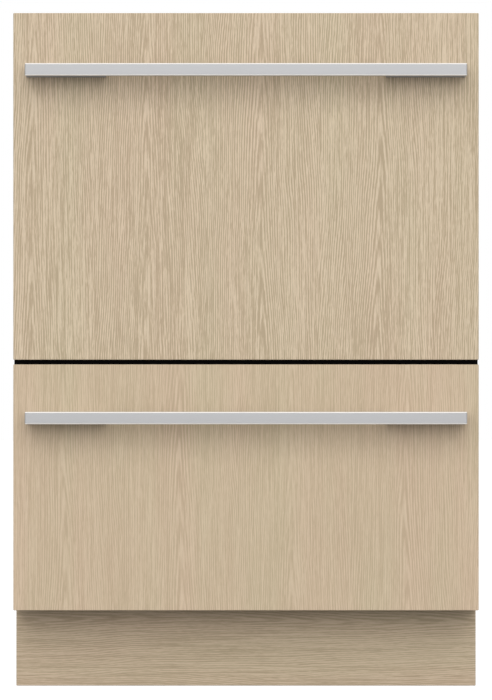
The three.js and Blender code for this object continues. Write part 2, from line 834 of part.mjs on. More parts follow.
// A shallow dome over the sump, with a hole for the tower.
function filterPlate({ name, floor }) {
  const seat = floor + fit;
  const hole = towerRadius + slip;
  const body = turned(
    [
      [hole, seat],
      [filterRadius, seat],
      [filterRadius, seat + filterThickness],
      [filterDomeRadius, seat + filterThickness],
      [hole + filterHubWidth, seat + filterDomeRise],
      [hole, seat + filterDomeRise],
    ],
    wideRound,
  );
  return piece(`${name}_filter_plate`, darkPlastic, body, [0, tubMidY, 0]);
}

// Two tapered arms with jets, on a hub that turns on the pump's tower.
function sprayArm({ name, floor }) {
  const armBottom = floor + armClearance;
  const hubBottom = armBottom - armHubDrop;
  const towerTop = floor + towerRise;
  const hubTop = towerTop + slip + armHubCap;
  const blade = new THREE.Shape();
  const tipX = armRadius - armTipRadius;
  blade.moveTo(0, -armRootWidth / 2);
  blade.lineTo(tipX, -armTipRadius);
  blade.absarc(tipX, 0, armTipRadius, -Math.PI / 2, Math.PI / 2);
  blade.lineTo(0, armRootWidth / 2);
  const settings = { depth: armThickness, bevelEnabled: false, curveSegments: 4 };
  const arm = new THREE.ExtrudeGeometry(blade, settings).translate(0, 0, armBottom);
  const arms = [0, Math.PI].map((angle) => solid(arm.clone().rotateZ(angle)));
  const armTop = armBottom + armThickness;
  const jets = [-4, -3, -2, 2, 3, 4].map((n) =>
    barZ(jetRadius, [armTop - 1, armTop + jetRise], [n * jetPitch, 0], smallRound),
  );
  const hub = barZ(armHubRadius, [hubBottom, hubTop], [0, 0], wideRound);
  const bore = barZ(towerRadius + slip, [hubBottom - 1, towerTop + slip], [0, 0], round);
  return piece(`${name}_spray_arm`, tubPlastic, cut(join(...arms, ...jets, hub), bore), [0, tubMidY, 0]);
}

// ---------------------------------------------------------------- rack
const rackX = tubInnerHalf - rackSideGap;
const rackFrontY = tubInnerFrontY + rackFrontGap;
const rackRearY = tubInnerRearY - rackRearGap;

// A basket of wires: each runs down one wall, across the bottom and up the other, and rings tie them.
function rack({ name, floor }) {
  const half = wire / 2;
  const bottom = floor + rackClearance;
  const top = -rackRimDrop;
  const uprightTop = top - wire + weld;
  const upright = (x, y, low) => block([x - half, x + half], [y - half, y + half], [low, uprightTop]);
  const crossWires = spread(rackFrontY, rackRearY, rackCrossings).flatMap((y) => [
    block([-rackX - half, rackX + half], [y - half, y + half], [bottom, bottom + wire]),
    upright(-rackX, y, bottom),
    upright(rackX, y, bottom),
  ]);
  const runBottom = bottom + wire - weld;
  const runWires = spread(-rackX, rackX, rackRuns).flatMap((x) => [
    block([x - half, x + half], [rackFrontY - half, rackRearY + half], [runBottom, runBottom + wire]),
    upright(x, rackFrontY, runBottom),
    upright(x, rackRearY, runBottom),
  ]);
  const shelfRing = -shelfDrop - axleRadius - slip - shelfSeatHeight;
  const acrossX = [-rackX - half, rackX + half];
  const alongY = [rackFrontY - half, rackRearY + half];
  const rings = [top - wire, shelfRing].flatMap((z) => [
    ...[rackFrontY, rackRearY].map((y) => block(acrossX, [y - half, y + half], [z, z + wire])),
    ...[-rackX, rackX].map((x) => block([x - half, x + half], alongY, [z, z + wire])),
  ]);
  const legs = [-rackX, rackX].flatMap((x) =>
    [rackFrontY, rackRearY].map((y) => upright(x, y, floor + fit)),
  );
  const seatX = [-rackX, -rackX + shelfSeatLength];
  const seatZ = [shelfRing, shelfRing + shelfSeatHeight];
  const seats = shelfSeats().map((y) => block(seatX, [y - half, y + half], seatZ));
  return piece(`${name}_rack`, rackWire, join(...crossWires, ...runWires, ...rings, ...legs, ...seats));
}

// The two seats under the ends of the cup shelf's axle.
function shelfSeats() {
  const reach = shelfLength / 2 - shelfSeatInset;
  return [tubMidY - reach, tubMidY + reach];
}

// A row of tines that stands between the plates and folds down flat to the right.
function plateComb({ name, floor }) {
  const axleZ = floor + rackClearance + wire + slip + axleRadius;
  const ys = [rackFrontY + combEndGap, rackRearY - combEndGap];
  const half = tineWidth / 2;
  const reach = (ys[1] - ys[0]) / 2 - tineEndGap;
  const count = Math.floor((2 * reach) / tinePitch) + 1;
  const firstTine = (ys[0] + ys[1] - (count - 1) * tinePitch) / 2;
  const tines = Array.from({ length: count }, (_, i) => firstTine + i * tinePitch).map((y) =>
    block([-half, half], [y - half, y + half], [0, tineHeight]),
  );
  const axle = barY(axleRadius, ys, [0, 0], smallRound);
  return piece(`${name}_plate_comb`, rackWire, join(axle, ...tines), [-combOffset, 0, axleZ]);
}

// A shelf of wires on the left that carries cups and folds up against the rack's side.
function cupShelf({ name }) {
  const ys = [-shelfLength / 2, shelfLength / 2];
  const half = wire / 2;
  const axle = barY(axleRadius, ys, [0, 0], smallRound);
  const arms = spread(ys[0] + half, ys[1] - half, shelfArms).map((y) =>
    block([0, shelfWidth], [y - half, y + half], [-half, half]),
  );
  const rails = [shelfWidth / 2, shelfWidth - half].map((x) =>
    block([x - half, x + half], ys, [-half, half]),
  );
  const axleX = -rackX + shelfSeatLength - axleRadius - wire;
  return piece(`${name}_cup_shelf`, rackWire, join(axle, ...arms, ...rails), [axleX, tubMidY, -shelfDrop]);
}

// ---------------------------------------------------------------- detergent dispenser
// A housing on the front wall of the tub, with a cup for the powder. Two guides hold the sliding door.
function dispenser({ name }) {
  const backY = tubInnerFrontY + fit;
  const faceY = backY + dispenserDepth;
  const top = -dispenserDrop;
  const bottom = top - dispenserHeight;
  const left = dispenserOffset;
  const right = left + dispenserWidth;
  const midZ = (top + bottom) / 2;
  const cupLeft = left + doorLap * 2;
  const cup = block(
    [cupLeft, cupLeft + cupWidth],
    [faceY - cupDepth, faceY + 1],
    [midZ - cupHeight / 2, midZ + cupHeight / 2],
  );
  const doorHalf = cupHeight / 2 + doorLap;
  const guideFrontY = faceY + fit + doorThickness + fit + guideLip;
  const guides = [-1, 1].flatMap((s) => {
    const inner = midZ + s * (doorHalf + fit);
    const outer = inner + s * guideHeight;
    return [
      block([left, right], [faceY - 1, guideFrontY], [inner, outer]),
      block([left, right], [guideFrontY - guideLip, guideFrontY], [inner - s * guideLip, outer]),
    ];
  });
  const housing = block([left, right], [backY, faceY], [bottom, top]);
  const doorLeft = cupLeft - doorLap;
  const doorBody = block(
    [0, cupWidth + 2 * doorLap],
    [faceY + fit, faceY + fit + doorThickness],
    [midZ - doorHalf, midZ + doorHalf],
  );
  return [
    piece(`${name}_dispenser`, palePlastic, join(cut(housing, cup), ...guides)),
    piece(`${name}_dispenser_door`, darkPlastic, doorBody, [doorLeft, 0, 0]),
  ];
}

// ---------------------------------------------------------------- lid
// A tray that hangs over the tub by four lugs in the chassis sides, with a seal under its edge.
function lid({ name }) {
  const xs = [-lidHalf, lidHalf];
  const ys = [lidFrontY, lidRearY];
  const top = lidBottom + lidHeight;
  const radius = tubCornerRadius;
  const outer = roundedPlate(xs, ys, [lidBottom, top], radius);
  const hollow = roundedPlate(
    [xs[0] + lidWall, xs[1] - lidWall],
    [ys[0] + lidWall, ys[1] - lidWall],
    [lidBottom + lidWall, top + 1],
    radius - lidWall,
  );
  const lugEnd = halfWidth - fit;
  const lugs = [-1, 1].flatMap((s) =>
    lugPlaces().map((y) =>
      block([s * (lidHalf - 1), s * lugEnd], [y - lugWidth / 2, y + lugWidth / 2], [lugBottom, lugTop]),
    ),
  );
  return piece(`${name}_lid`, tubPlastic, join(cut(outer, hollow), ...lugs));
}

function lidSeal({ name }) {
  const top = sealBottom + sealHeight;
  const outer = roundedPlate([-lidHalf, lidHalf], [lidFrontY, lidRearY], [sealBottom, top], tubCornerRadius);
  const inner = roundedPlate(
    [-lidHalf + sealWidth, lidHalf - sealWidth],
    [lidFrontY + sealWidth, lidRearY - sealWidth],
    [sealBottom - 1, top + 1],
    tubCornerRadius - sealWidth,
  );
  return piece(`${name}_lid_seal`, rubber, cut(outer, inner));
}

// ---------------------------------------------------------------- assembly
function drawer(spec) {
  const group = new THREE.Group();
  group.position.z = spec.rim;
  group.add(frontPanel(spec), ...handle(spec), drawerFrame(spec), ...buttons(spec));
  group.add(tub(spec), washPump(spec), filterPlate(spec), sprayArm(spec));
  group.add(rack(spec), plateComb(spec), cupShelf(spec), ...dispenser(spec));
  group.add(lid(spec), lidSeal(spec));
  return group;
}

const dishwasher = new THREE.Group();
dishwasher.add(...sides.map(sidePanel), basePan(), rearPanel(), topPanel(), middleRail(), kickPanel());
for (const [name, place] of Object.entries(footPlaces())) dishwasher.add(levellingFoot(name, place));
dishwasher.add(drainManifold(), inletValve(), terminalBox(), ...drainHoses());
for (const spec of drawers) dishwasher.add(...slides(spec), drawer(spec));

export default dishwasher;
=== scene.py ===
# %% [markdown]
# # A dishwasher with two drawers
#
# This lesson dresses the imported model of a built-in dishwasher. Two drawers stand one above the other
# behind oak fronts. Each has a long flat aluminium handle, and each is a whole washer of its own, with a
# tub, a pump, a filter, a spray arm, a rack and a lid. The frame gives the place of every piece, so each
# new shape is worked out from the box of the solid that it stands for.
#
# The first cell loads the frame and keeps its box, because the finished looks have to stay inside it. The
# sizes of pieces are in millimetres, as on a drawing, and the helpers turn them into Blender's metres. The
# studio and the finishes are in metres.

# %% Load the frame
import math

import bmesh
import bpy
from mathutils import Matrix, Vector


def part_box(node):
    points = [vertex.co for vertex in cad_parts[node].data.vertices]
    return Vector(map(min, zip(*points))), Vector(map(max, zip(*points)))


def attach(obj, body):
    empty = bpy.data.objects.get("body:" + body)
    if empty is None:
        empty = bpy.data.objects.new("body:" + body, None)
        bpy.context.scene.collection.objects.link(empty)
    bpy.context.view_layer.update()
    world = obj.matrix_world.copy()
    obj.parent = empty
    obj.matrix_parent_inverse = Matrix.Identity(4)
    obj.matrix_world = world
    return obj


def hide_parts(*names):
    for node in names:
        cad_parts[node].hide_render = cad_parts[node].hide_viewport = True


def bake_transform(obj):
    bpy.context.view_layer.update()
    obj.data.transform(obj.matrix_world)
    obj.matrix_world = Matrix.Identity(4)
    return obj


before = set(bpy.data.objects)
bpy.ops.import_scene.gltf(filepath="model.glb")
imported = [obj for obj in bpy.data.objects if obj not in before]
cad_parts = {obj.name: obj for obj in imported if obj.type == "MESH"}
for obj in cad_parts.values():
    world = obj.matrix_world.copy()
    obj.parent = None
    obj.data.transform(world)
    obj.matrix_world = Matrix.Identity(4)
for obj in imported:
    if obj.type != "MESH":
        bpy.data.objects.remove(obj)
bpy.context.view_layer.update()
MM = 0.001
DRAWERS = ("lower", "upper")
SIDES = {"left": -1, "right": 1}
for material in bpy.data.materials:
    material.name = "plain_" + material.name  # leaves the record's names free for the finishes


def box(node):
    """The lowest and the highest corner of a solid, in millimetres."""
    return [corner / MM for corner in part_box(node)]


def middle(node):
    """The middle of a solid's box, in millimetres."""
    low, high = box(node)
    return (low + high) / 2


# %% [markdown]
# ## The camera
#
# The photograph looks straight at the fronts from about four and a half metres, a little above the middle
# of the unit. A long lens keeps the edges parallel, as they are in the photograph. Its length follows from
# the picture: 700 pixels high, with one pixel for each 1.28 mm at the face of the fronts.

# %% Camera
PIXELS_HIGH = 700
MM_PER_PIXEL = 1.2803
SENSOR = 36
CAMERA_DISTANCE = 4.5
CAMERA_HEIGHT = 0.4365
front_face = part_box("upper_front_panel")[0].y

camera_data = bpy.data.cameras.new("camera")
camera_data.sensor_fit = "VERTICAL"
camera_data.sensor_height = SENSOR
camera_data.lens = SENSOR * CAMERA_DISTANCE / (PIXELS_HIGH * MM_PER_PIXEL * MM)
camera = bpy.data.objects.new("camera", camera_data)
bpy.context.scene.collection.objects.link(camera)
camera.location = (0, front_face - CAMERA_DISTANCE, CAMERA_HEIGHT)
camera.rotation_euler = (math.radians(90), 0, 0)
bpy.context.scene.camera = camera
print("camera: lens", round(camera_data.lens, 2), "mm")

# %% [markdown]
# ## Tools for modelling
#
# Blender's operators act on all that is selected, and loading the frame leaves its solids selected. So
# every step starts by clearing the selection, and faces or edges are then picked by their place or by the
# way they face, as a hand would click on them. These few helpers say that once.

# %% Selecting
ALONG = 0.99  # the cosine of the angle within which two directions count as one
SHARP_ANGLE = math.radians(35)


def clear():
    """Leaves edit mode and deselects everything."""
    if bpy.context.mode != "OBJECT":
        bpy.ops.object.mode_set(mode="OBJECT")
    bpy.ops.object.select_all(action="DESELECT")


def only(piece):
    """Selects one piece, and makes it the active one."""
    clear()
    piece.select_set(True)
    bpy.context.view_layer.objects.active = piece


def pick(piece, kind, test=lambda part: True):
    """Goes into edit mode with only those faces, edges or corners selected that pass the test."""
    only(piece)
    bpy.ops.object.mode_set(mode="EDIT")
    bpy.ops.mesh.select_mode(type=kind)
    bpy.ops.mesh.select_all(action="DESELECT")
    shape = bmesh.from_edit_mesh(piece.data)
    shape.normal_update()
    for part in {"VERT": shape.verts, "EDGE": shape.edges, "FACE": shape.faces}[kind]:
        if test(part):
            part.select_set(True)
    shape.select_flush_mode()
    bmesh.update_edit_mesh(piece.data)


def facing(*way):
    """A test for faces that look along a direction."""
    return lambda face: face.normal.dot(Vector(way)) > ALONG


def upright(edge):
    """A test for edges that run straight up."""
    return abs((edge.verts[1].co - edge.verts[0].co).normalized().z) > ALONG


def sharp(edge):
    """A test for edges where two faces meet at a clear angle."""
    return edge.is_manifold and edge.calc_face_angle(0) > SHARP_ANGLE


print("selecting: ready")


# %% Blocks and rods
def settle(name):
    """Puts the new primitive's size and place into its mesh, so that its object stays at the origin."""
    bpy.ops.object.transform_apply(location=True, rotation=True, scale=True)
    piece = bpy.context.object
    piece.name = piece.data.name = name
    return piece


def block(name, corner, opposite):
    """A block between two opposite corners."""
    low, high = [Vector([end(pair) for pair in zip(corner, opposite)]) * MM for end in (min, max)]
    clear()
    bpy.ops.mesh.primitive_cube_add(size=1, location=(low + high) / 2)
    bpy.context.object.scale = high - low
    return settle(name)


def rod(name, start, end, radius, sides=16):
    """A round bar between two points."""
    start, end = Vector(start) * MM, Vector(end) * MM
    axis = end - start
    clear()
    bpy.ops.mesh.primitive_cylinder_add(
        vertices=sides,
        radius=radius * MM,
        depth=axis.length,
        location=(start + end) / 2,
        rotation=axis.to_track_quat("Z", "Y").to_euler(),
    )
    return settle(name)


print("blocks and rods: ready")

# %% [markdown]
# What is round is drawn as a profile and spun about its axis, as on a lathe. What is bent from wire is a
# path with a round section. Both are real mesh when they leave these helpers, so they can be joined.


# %% Turned shapes and wires
def placed(name, mesh):
    """A mesh, a curve or a lamp as a new object in the scene."""
    piece = bpy.data.objects.new(name, mesh)
    bpy.context.scene.collection.objects.link(piece)
    return piece


def turned(name, profile, place=(0, 0, 0), way=(0, 0, 1), steps=32):
    """A profile of (radius, height) corners, spun round an axis that stands at a place."""
    mesh = bpy.data.meshes.new(name)
    corners = [(radius * MM, 0, height * MM) for radius, height in profile]
    mesh.from_pydata(corners, [(i, i + 1) for i in range(len(corners) - 1)], [])
    piece = placed(name, mesh)
    pick(piece, "VERT")
    bpy.ops.mesh.spin(steps=steps, angle=math.tau, center=(0, 0, 0), axis=(0, 0, 1))
    bpy.ops.mesh.select_all(action="SELECT")
    bpy.ops.mesh.remove_doubles(threshold=1e-6)
    bpy.ops.mesh.normals_make_consistent(inside=False)
    only(piece)
    piece.rotation_euler = Vector(way).to_track_quat("Z", "Y").to_euler()
    piece.location = Vector(place) * MM
    return settle(name)


def wires(name, paths, thickness, sides=8, swell=lambda index, count: 1.0):
    """Round wires along several paths, as one mesh. The swell varies a wire's thickness along it."""
    curve = bpy.data.curves.new(name, "CURVE")
    curve.dimensions = "3D"
    curve.bevel_depth = thickness / 2 * MM
    curve.bevel_resolution = (sides - 4) // 2
    curve.use_fill_caps = True
    for points, closed in paths:
        spline = curve.splines.new("POLY")
        spline.points.add(len(points) - 1)
        for index, (spot, point) in enumerate(zip(spline.points, points)):
            spot.co = (*(Vector(point) * MM), 1)
            spot.radius = swell(index, len(points))
        spline.use_cyclic_u = closed
    only(placed(name, curve))
    bpy.ops.object.convert(target="MESH")
    return bpy.context.object


def bent(corners, radius, steps=4):
    """A path whose inner corners are rounded, as a wire bends."""
    corners = [Vector(corner) for corner in corners]
    path = [corners[0]]
    for before, corner, after in zip(corners, corners[1:], corners[2:]):
        enter = corner + (before - corner).normalized() * radius
        leave = corner + (after - corner).normalized() * radius
        for i in range(steps + 1):
            t = i / steps
            path.append(enter * (1 - t) ** 2 + corner * 2 * t * (1 - t) + leave * t**2)
    return path + [corners[-1]]


print("turned shapes and wires: ready")

# %% [markdown]
# No moulded, rolled or sawn edge is perfectly sharp, and a fine bevel catches the light as the real edge
# does. So a block that shows has its edges rounded. Where a solid of the frame already has the right form,
# it is copied, its loose triangles are merged into whole faces, and its edges are rounded too.


# %% Changing shapes
def modify(piece, kind, **settings):
    """Adds one modifier and applies it."""
    modifier = piece.modifiers.new(kind.title(), kind)
    for setting, value in settings.items():
        setattr(modifier, setting, value)
    only(piece)
    bpy.ops.object.modifier_apply(modifier=modifier.name)


def round_edges(piece, width, segments=2, test=sharp, clamp=True):
    """Rounds the edges that pass a test."""
    pick(piece, "EDGE", test)
    bpy.ops.mesh.bevel(offset=width * MM, segments=segments, profile=0.5, clamp_overlap=clamp)
    clear()
    return piece


def soft_block(name, corner, opposite, width, segments=2):
    """A block with all its edges rounded."""
    return round_edges(block(name, corner, opposite), width, segments)


def softened(node, name, width, segments=2, clamp=True):
    """A copy of a solid, with its loose triangles merged into whole faces and its edges rounded."""
    piece = placed(name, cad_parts[node].data.copy())
    piece.data.name = name
    piece.data.materials.clear()
    pick(piece, "FACE")
    bpy.ops.mesh.remove_doubles(threshold=1e-5)
    bpy.ops.mesh.dissolve_limited(angle_limit=math.radians(1))
    bpy.ops.mesh.customdata_custom_splitnormals_clear()
    return round_edges(piece, width, segments, clamp=clamp)


def step_face(piece, way, margin, reach):
    """Insets the face that looks one way, and draws it out, or in where the reach is negative."""
    pick(piece, "FACE", facing(*way))
    bpy.ops.mesh.inset(thickness=margin * MM, depth=0)
    bpy.ops.mesh.extrude_region_move(TRANSFORM_OT_translate={"value": tuple(Vector(way) * reach * MM)})


def combine(piece, operation, *others):
    """Fuses shapes with a piece or cuts them out of it, and removes them."""
    for other in others:
        modify(piece, "BOOLEAN", operation=operation, object=other, solver="EXACT")
        bpy.data.objects.remove(other)
    return piece


print("changing shapes: ready")

# %% [markdown]
# A piece is often many shapes: a comb has its tines, and a lid its ribs. What repeats is made once and
# copied, and then all is joined. The last helper gives the piece its finish and says what it rides on.


# %% Copying, joining and installing
def group(name, first, *others):
    """Joins shapes into one piece."""
    clear()
    for piece in (first, *others):
        piece.select_set(True)
    bpy.context.view_layer.objects.active = first
    if others:
        bpy.ops.object.join()
    first.name = first.data.name = name
    return first


def copies_of(piece, moves):
    """Copies of a piece, each with its own mesh and moved by its own matrix. The first one is removed."""
    twins = [placed(piece.name, piece.data.copy()) for move in moves]
    for twin, move in zip(twins, moves):
        twin.data.transform(move)
    bpy.data.objects.remove(piece)
    return twins


def shift(place):
    """A matrix that moves a piece to a place."""
    return Matrix.Translation(Vector(place) * MM)


def at_places(piece, places):
    """Copies of a piece, moved to several places."""
    return copies_of(piece, [shift(place) for place in places])


def round_axis(piece, count, place=(0, 0, 0), start=0.0):
    """Equal copies of a piece round an upright axis that stands at a place."""
    turns = [Matrix.Rotation(start + k * math.tau / count, 4, "Z") for k in range(count)]
    return copies_of(piece, [shift(place) @ turn for turn in turns])


def install(piece, finish, body, *nodes):
    """Gives a piece its finish, lets it ride on a body, and hides the solids that it stands for."""
    if not piece.data.materials:
        piece.data.materials.append(finish)
    only(piece)
    bpy.ops.object.shade_smooth_by_angle(angle=SHARP_ANGLE)
    modify(piece, "WEIGHTED_NORMAL", keep_sharp=True)
    clear()
    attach(piece, body)
    if nodes:
        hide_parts(*nodes)
    return piece


print("copying, joining and installing: ready")

# %% [markdown]
# ## Shader arithmetic
#
# A procedural finish is mostly sums: a streak plus a pore, less some wear. In the node editor each sum is
# a box with wires. Here a small class wraps an output socket, so that `0.5 + streaks * 0.3` adds the same
# boxes, and one method of `Finish` adds every other kind of node.


# %% Sockets that add and multiply
def operator(operation):
    """The methods for an operator and for its reflected form, as in 1 - mask."""

    def forward(value, other):
        return value.finish.math(operation, value, other)

    def reflected(value, other):
        return value.finish.math(operation, other, value)

    return forward, reflected


class Value:
    """An output socket of a finish. Arithmetic on it adds Math nodes."""

    def __init__(self, finish, socket):
        self.finish = finish
        self.socket = socket

    __add__, __radd__ = operator("ADD")
    __sub__, __rsub__ = operator("SUBTRACT")
    __mul__, __rmul__ = operator("MULTIPLY")
    __truediv__, __rtruediv__ = operator("DIVIDE")
    __pow__, __rpow__ = operator("POWER")
    __gt__, __lt__ = operator("GREATER_THAN")

    def fraction(self):
        """What is left of the number after its whole part, which makes a pattern repeat."""
        return self.finish.math("FRACT", self)


print("operators: + - * / ** >")

# %% [markdown]
# A finish starts with its plain colour, roughness and metal, and then takes patterns. Methods such as
# `noise` and `mix` add what a pattern is made of, and all of them add their nodes through `node`.


# %% A finish in the making
class Finish:
    """A material in the making."""

    def __init__(self, name, color, roughness, metallic=0.0):
        self.material = bpy.data.materials.new(name)
        self.material.use_nodes = True
        self.tree = self.material.node_tree
        self.shader = self.tree.nodes["Principled BSDF"]
        self.material.diffuse_color = color
        self.set("Base Color", color)
        self.set("Roughness", roughness)
        self.set("Metallic", metallic)

    def feed(self, socket, value):
        """Links a value into a socket, or writes a plain number or colour there."""
        if isinstance(value, Value):
            self.tree.links.new(value.socket, socket)
        else:
            socket.default_value = value

    def set(self, name, value):
        """Gives one input of the shader its value."""
        self.feed(self.shader.inputs[name], value)

    def node(self, kind, settings=None, inputs=None, output=0):
        """Adds a node with its settings, where stops are those of a ramp, and with its inputs."""
        node = self.tree.nodes.new(kind)
        for setting, value in (settings or {}).items():
            if setting != "stops":
                setattr(node, setting, value)
                continue
            elements = node.color_ramp.elements
            while len(elements) < len(value):
                elements.new(0.5)
            for element, (spot, color) in zip(elements, value):
                element.position = spot
                element.color = color
        for name, value in (inputs or {}).items():
            self.feed(node.inputs[name], value)
        return Value(self, node.outputs[output])

    def math(self, operation, first, second=0.0):
        """A Math node on values, plain numbers or both."""
        return self.node("ShaderNodeMath", {"operation": operation}, {0: first, 1: second})

    def place(self, stretch=(1, 1, 1)):
        """The place on the object, with each axis stretched by a number."""
        here = self.node("ShaderNodeTexCoord", output="Object")
        return self.node("ShaderNodeVectorMath", {"operation": "MULTIPLY"}, {0: here, 1: stretch})

    def along(self, axis, place):
        """One number of a place: 0, 1 or 2 for X, Y or Z."""
        return self.node("ShaderNodeSeparateXYZ", None, {0: place}, output=axis)

    def noise(self, stretch, detail=2.0, distortion=0.0):
        """Noise from 0 to 1. The stretch gives about how many lumps fit in a metre on each axis."""
        inputs = {"Vector": self.place(stretch), "Scale": 1.0, "Detail": detail, "Distortion": distortion}
        return self.node("ShaderNodeTexNoise", None, inputs)

    def ramp(self, value, *stops):
        """A colour for each value, from (value, colour) stops."""
        return self.node("ShaderNodeValToRGB", {"stops": stops}, {0: value})

    def mix(self, first, second, share):
        """A blend of two colours."""
        return self.node("ShaderNodeMix", {"data_type": "RGBA"}, {6: first, 7: second, 0: share}, output=2)

    def bump(self, height, depth, strength=1.0):
        """Raises the surface by up to a depth in metres, as far as light can tell."""
        inputs = {"Height": height, "Distance": depth, "Strength": strength}
        self.set("Normal", self.node("ShaderNodeBump", None, inputs))


print("finish: place, noise, ramp, mix and bump")

# %% [markdown]
# The colours of the finishes are written as a screen shows them, from 0 to 255. Blender works in linear
# light, so they are turned into that first.


# %% Colours
def paint(red, green, blue):
    """A colour as a screen shows it, from 0 to 255, in the linear light that Blender works in."""
    levels = [level / 255 for level in (red, green, blue)]
    linear = [v / 12.92 if v <= 0.04045 else ((v + 0.055) / 1.055) ** 2.4 for v in levels]
    return (*linear, 1.0)


def shaded(color, factor):
    """A colour with its light multiplied."""
    return (*(min(1, level * factor) for level in color[:3]), 1.0)


print("colours: a grey of 128 is", round(paint(128, 128, 128)[0], 3), "in linear light")

# %% [markdown]
# ## Light and floor
#
# The photograph is a plain catalogue picture: white all round, and a large soft lamp above and in front,
# which throws the handles' soft shadows down the oak. The world gives the even part of the light. What the
# camera and the metals see of it is plain white, and what falls on the object is a little less, so that
# with the lamp added a colour comes out about as it is written.

# %% World, lamp and floor
AMBIENT = 0.62
KEY_POWER = 1540
KEY_SIZE = 16.0
KEY_DISTANCE = 14.0
KEY_HEIGHT_ANGLE = math.radians(28)
FLOOR_REACH = 12
FLOOR_GLOW = 0.92


def light_path(finish):
    """1 for what the camera, metal and glass see, and 0 for the light that falls on things."""
    rays = ("Is Camera Ray", "Is Glossy Ray", "Is Transmission Ray")
    camera_ray, glossy_ray, glass_ray = [finish.node("ShaderNodeLightPath", output=ray) for ray in rays]
    return finish.math("MAXIMUM", finish.math("MAXIMUM", camera_ray, glossy_ray), glass_ray)


class Surroundings(Finish):
    """The world's nodes, made by the same method as a material's."""

    def __init__(self, world):
        world.use_nodes = True
        self.tree = world.node_tree
        self.shader = self.tree.nodes["Background"]


scene = bpy.context.scene
scene.view_settings.view_transform = "Standard"
scene.world = bpy.data.worlds.new("studio")
studio = Surroundings(scene.world)
studio.set("Color", (1, 1, 1, 1))
studio.set("Strength", AMBIENT + (1 - AMBIENT) * light_path(studio))

key_data = bpy.data.lights.new("key", "AREA")
key_data.shape = "SQUARE"
key_data.size = KEY_SIZE
key_data.energy = KEY_POWER
key = placed("key", key_data)
target = Vector((0, front_face, CAMERA_HEIGHT))
key.location = target + KEY_DISTANCE * Vector((0, -math.cos(KEY_HEIGHT_ANGLE), math.sin(KEY_HEIGHT_ANGLE)))
key.rotation_euler = (target - key.location).to_track_quat("-Z", "Y").to_euler()

floor_finish = Finish("studio_floor", paint(128, 128, 128), 0.9)
floor_finish.set("Emission Color", floor_finish.mix((0, 0, 0, 1), (1, 1, 1, 1), light_path(floor_finish)))
floor_finish.set("Emission Strength", FLOOR_GLOW)
clear()
bpy.ops.mesh.primitive_plane_add(size=2 * FLOOR_REACH, location=(0, 0, 0))
floor = settle("floor")
floor.data.materials.append(floor_finish.material)
print("light: one lamp of", KEY_POWER, "W, world at", AMBIENT)

# %% [markdown]
# ## Oak
#
# The fronts are oak veneer with upright grain, laid in leaves about 15 cm wide. Four things show at once:
# short fine streaks, long soft lines, patches that lean to pink or to straw, and the growth rings, which a
# flat cut turns into tall narrow arches up the middle of each leaf. Rings are cut cones, so the distance
# from the leaf's middle plus a little of the height gives them. The kick panel is the same wood laid level.

# %% Oak
LEAF_WIDTH = 147 * MM
RING_PITCH = 2.8 * MM
RING_TAPER = 0.045  # how much the rings lean
ARCH_WIDTH = 6 * MM
HEART_LINE = 22 * MM  # from the middle of the unit to the middle of a leaf
CALM_HEART_LINE = 62 * MM
KICK_HEART_LINE = -60 * MM
PINK, STRAW = paint(206, 181, 154), paint(199, 184, 152)


def oak(name, level, dark, mid, light, heart=0.0, contrast=1.0, tint=0.34):
    """Oak with its grain along Z, or along X where it is level. The heart is the middle of a leaf."""
    finish = Finish(name, mid, 0.55)
    finish.set("Specular IOR Level", 0.35)

    def grain(across, along, detail, distortion=0.0):
        """Noise with about so many lumps in a metre, across the grain and along it."""
        stretch = (along, across, across) if level else (across, across, along)
        return finish.noise(stretch, detail, distortion)

    bands = grain(18, 0.8, 1.0)
    lines = grain(620, 7, 1.0, 0.3)
    streaks = grain(800, 24, 2.0, 0.5)
    fine = grain(1100, 90, 1.0, 0.5)
    pores = grain(1500, 90, 1.0)

    across = finish.along(2 if level else 0, finish.place())
    along = finish.along(0 if level else 2, finish.place())
    wander = grain(5, 2.5, 2.0) - 0.5
    leaf = (across - heart + wander * 0.03) / LEAF_WIDTH + 0.5
    from_heart = (leaf.fraction() - 0.5) * LEAF_WIDTH
    cone = (from_heart * from_heart + ARCH_WIDTH**2) ** 0.5 + along * RING_TAPER
    uneven = grain(45, 3, 2.0) * 2.4
    rings = (cone / RING_PITCH + uneven) * math.tau
    rings = finish.math("SINE", rings)
    clear_rings = grain(24, 6, 2.0) ** 2

    tone = rings * (clear_rings * 1.25) + (lines - 0.5) * 1.7 + (streaks - 0.5) * 1.8 + (fine - 0.5) * 1.3
    tone = 0.5 + (tone + (bands - 0.5) * 0.5) * contrast
    color = finish.ramp(tone, (0.15, dark), (0.5, mid), (0.85, light))
    pore_mask = (pores > 0.62) * (0.3 * contrast)
    color = finish.mix(color, dark, pore_mask)
    tints = finish.ramp(grain(15, 2, 2.0), (0.35, PINK), (0.65, STRAW))
    finish.set("Base Color", finish.mix(color, tints, tint))
    finish.set("Roughness", 0.5 + streaks * 0.15)
    finish.bump(streaks * 0.6 + (1 - pore_mask), 0.0002, 0.35)
    return finish.material


FRONT_COLORS = (paint(172, 153, 126), paint(201, 182, 154), paint(224, 206, 180))
CALM_COLORS = (paint(178, 157, 130), paint(204, 183, 155), paint(223, 204, 178))
KICK_COLORS = (paint(163, 144, 118), paint(187, 167, 141), paint(206, 186, 161))
oak_front = oak("oak_front", False, *FRONT_COLORS, HEART_LINE, 1.2)
oak_calm = oak("oak_calm_front", False, *CALM_COLORS, CALM_HEART_LINE, 0.7, 0.5)
oak_band = oak("oak_level_band", True, *FRONT_COLORS)
oak_kick = oak("oak_kick", True, *KICK_COLORS, KICK_HEART_LINE)
print("oak:", oak_front.name, oak_calm.name, oak_band.name, oak_kick.name)

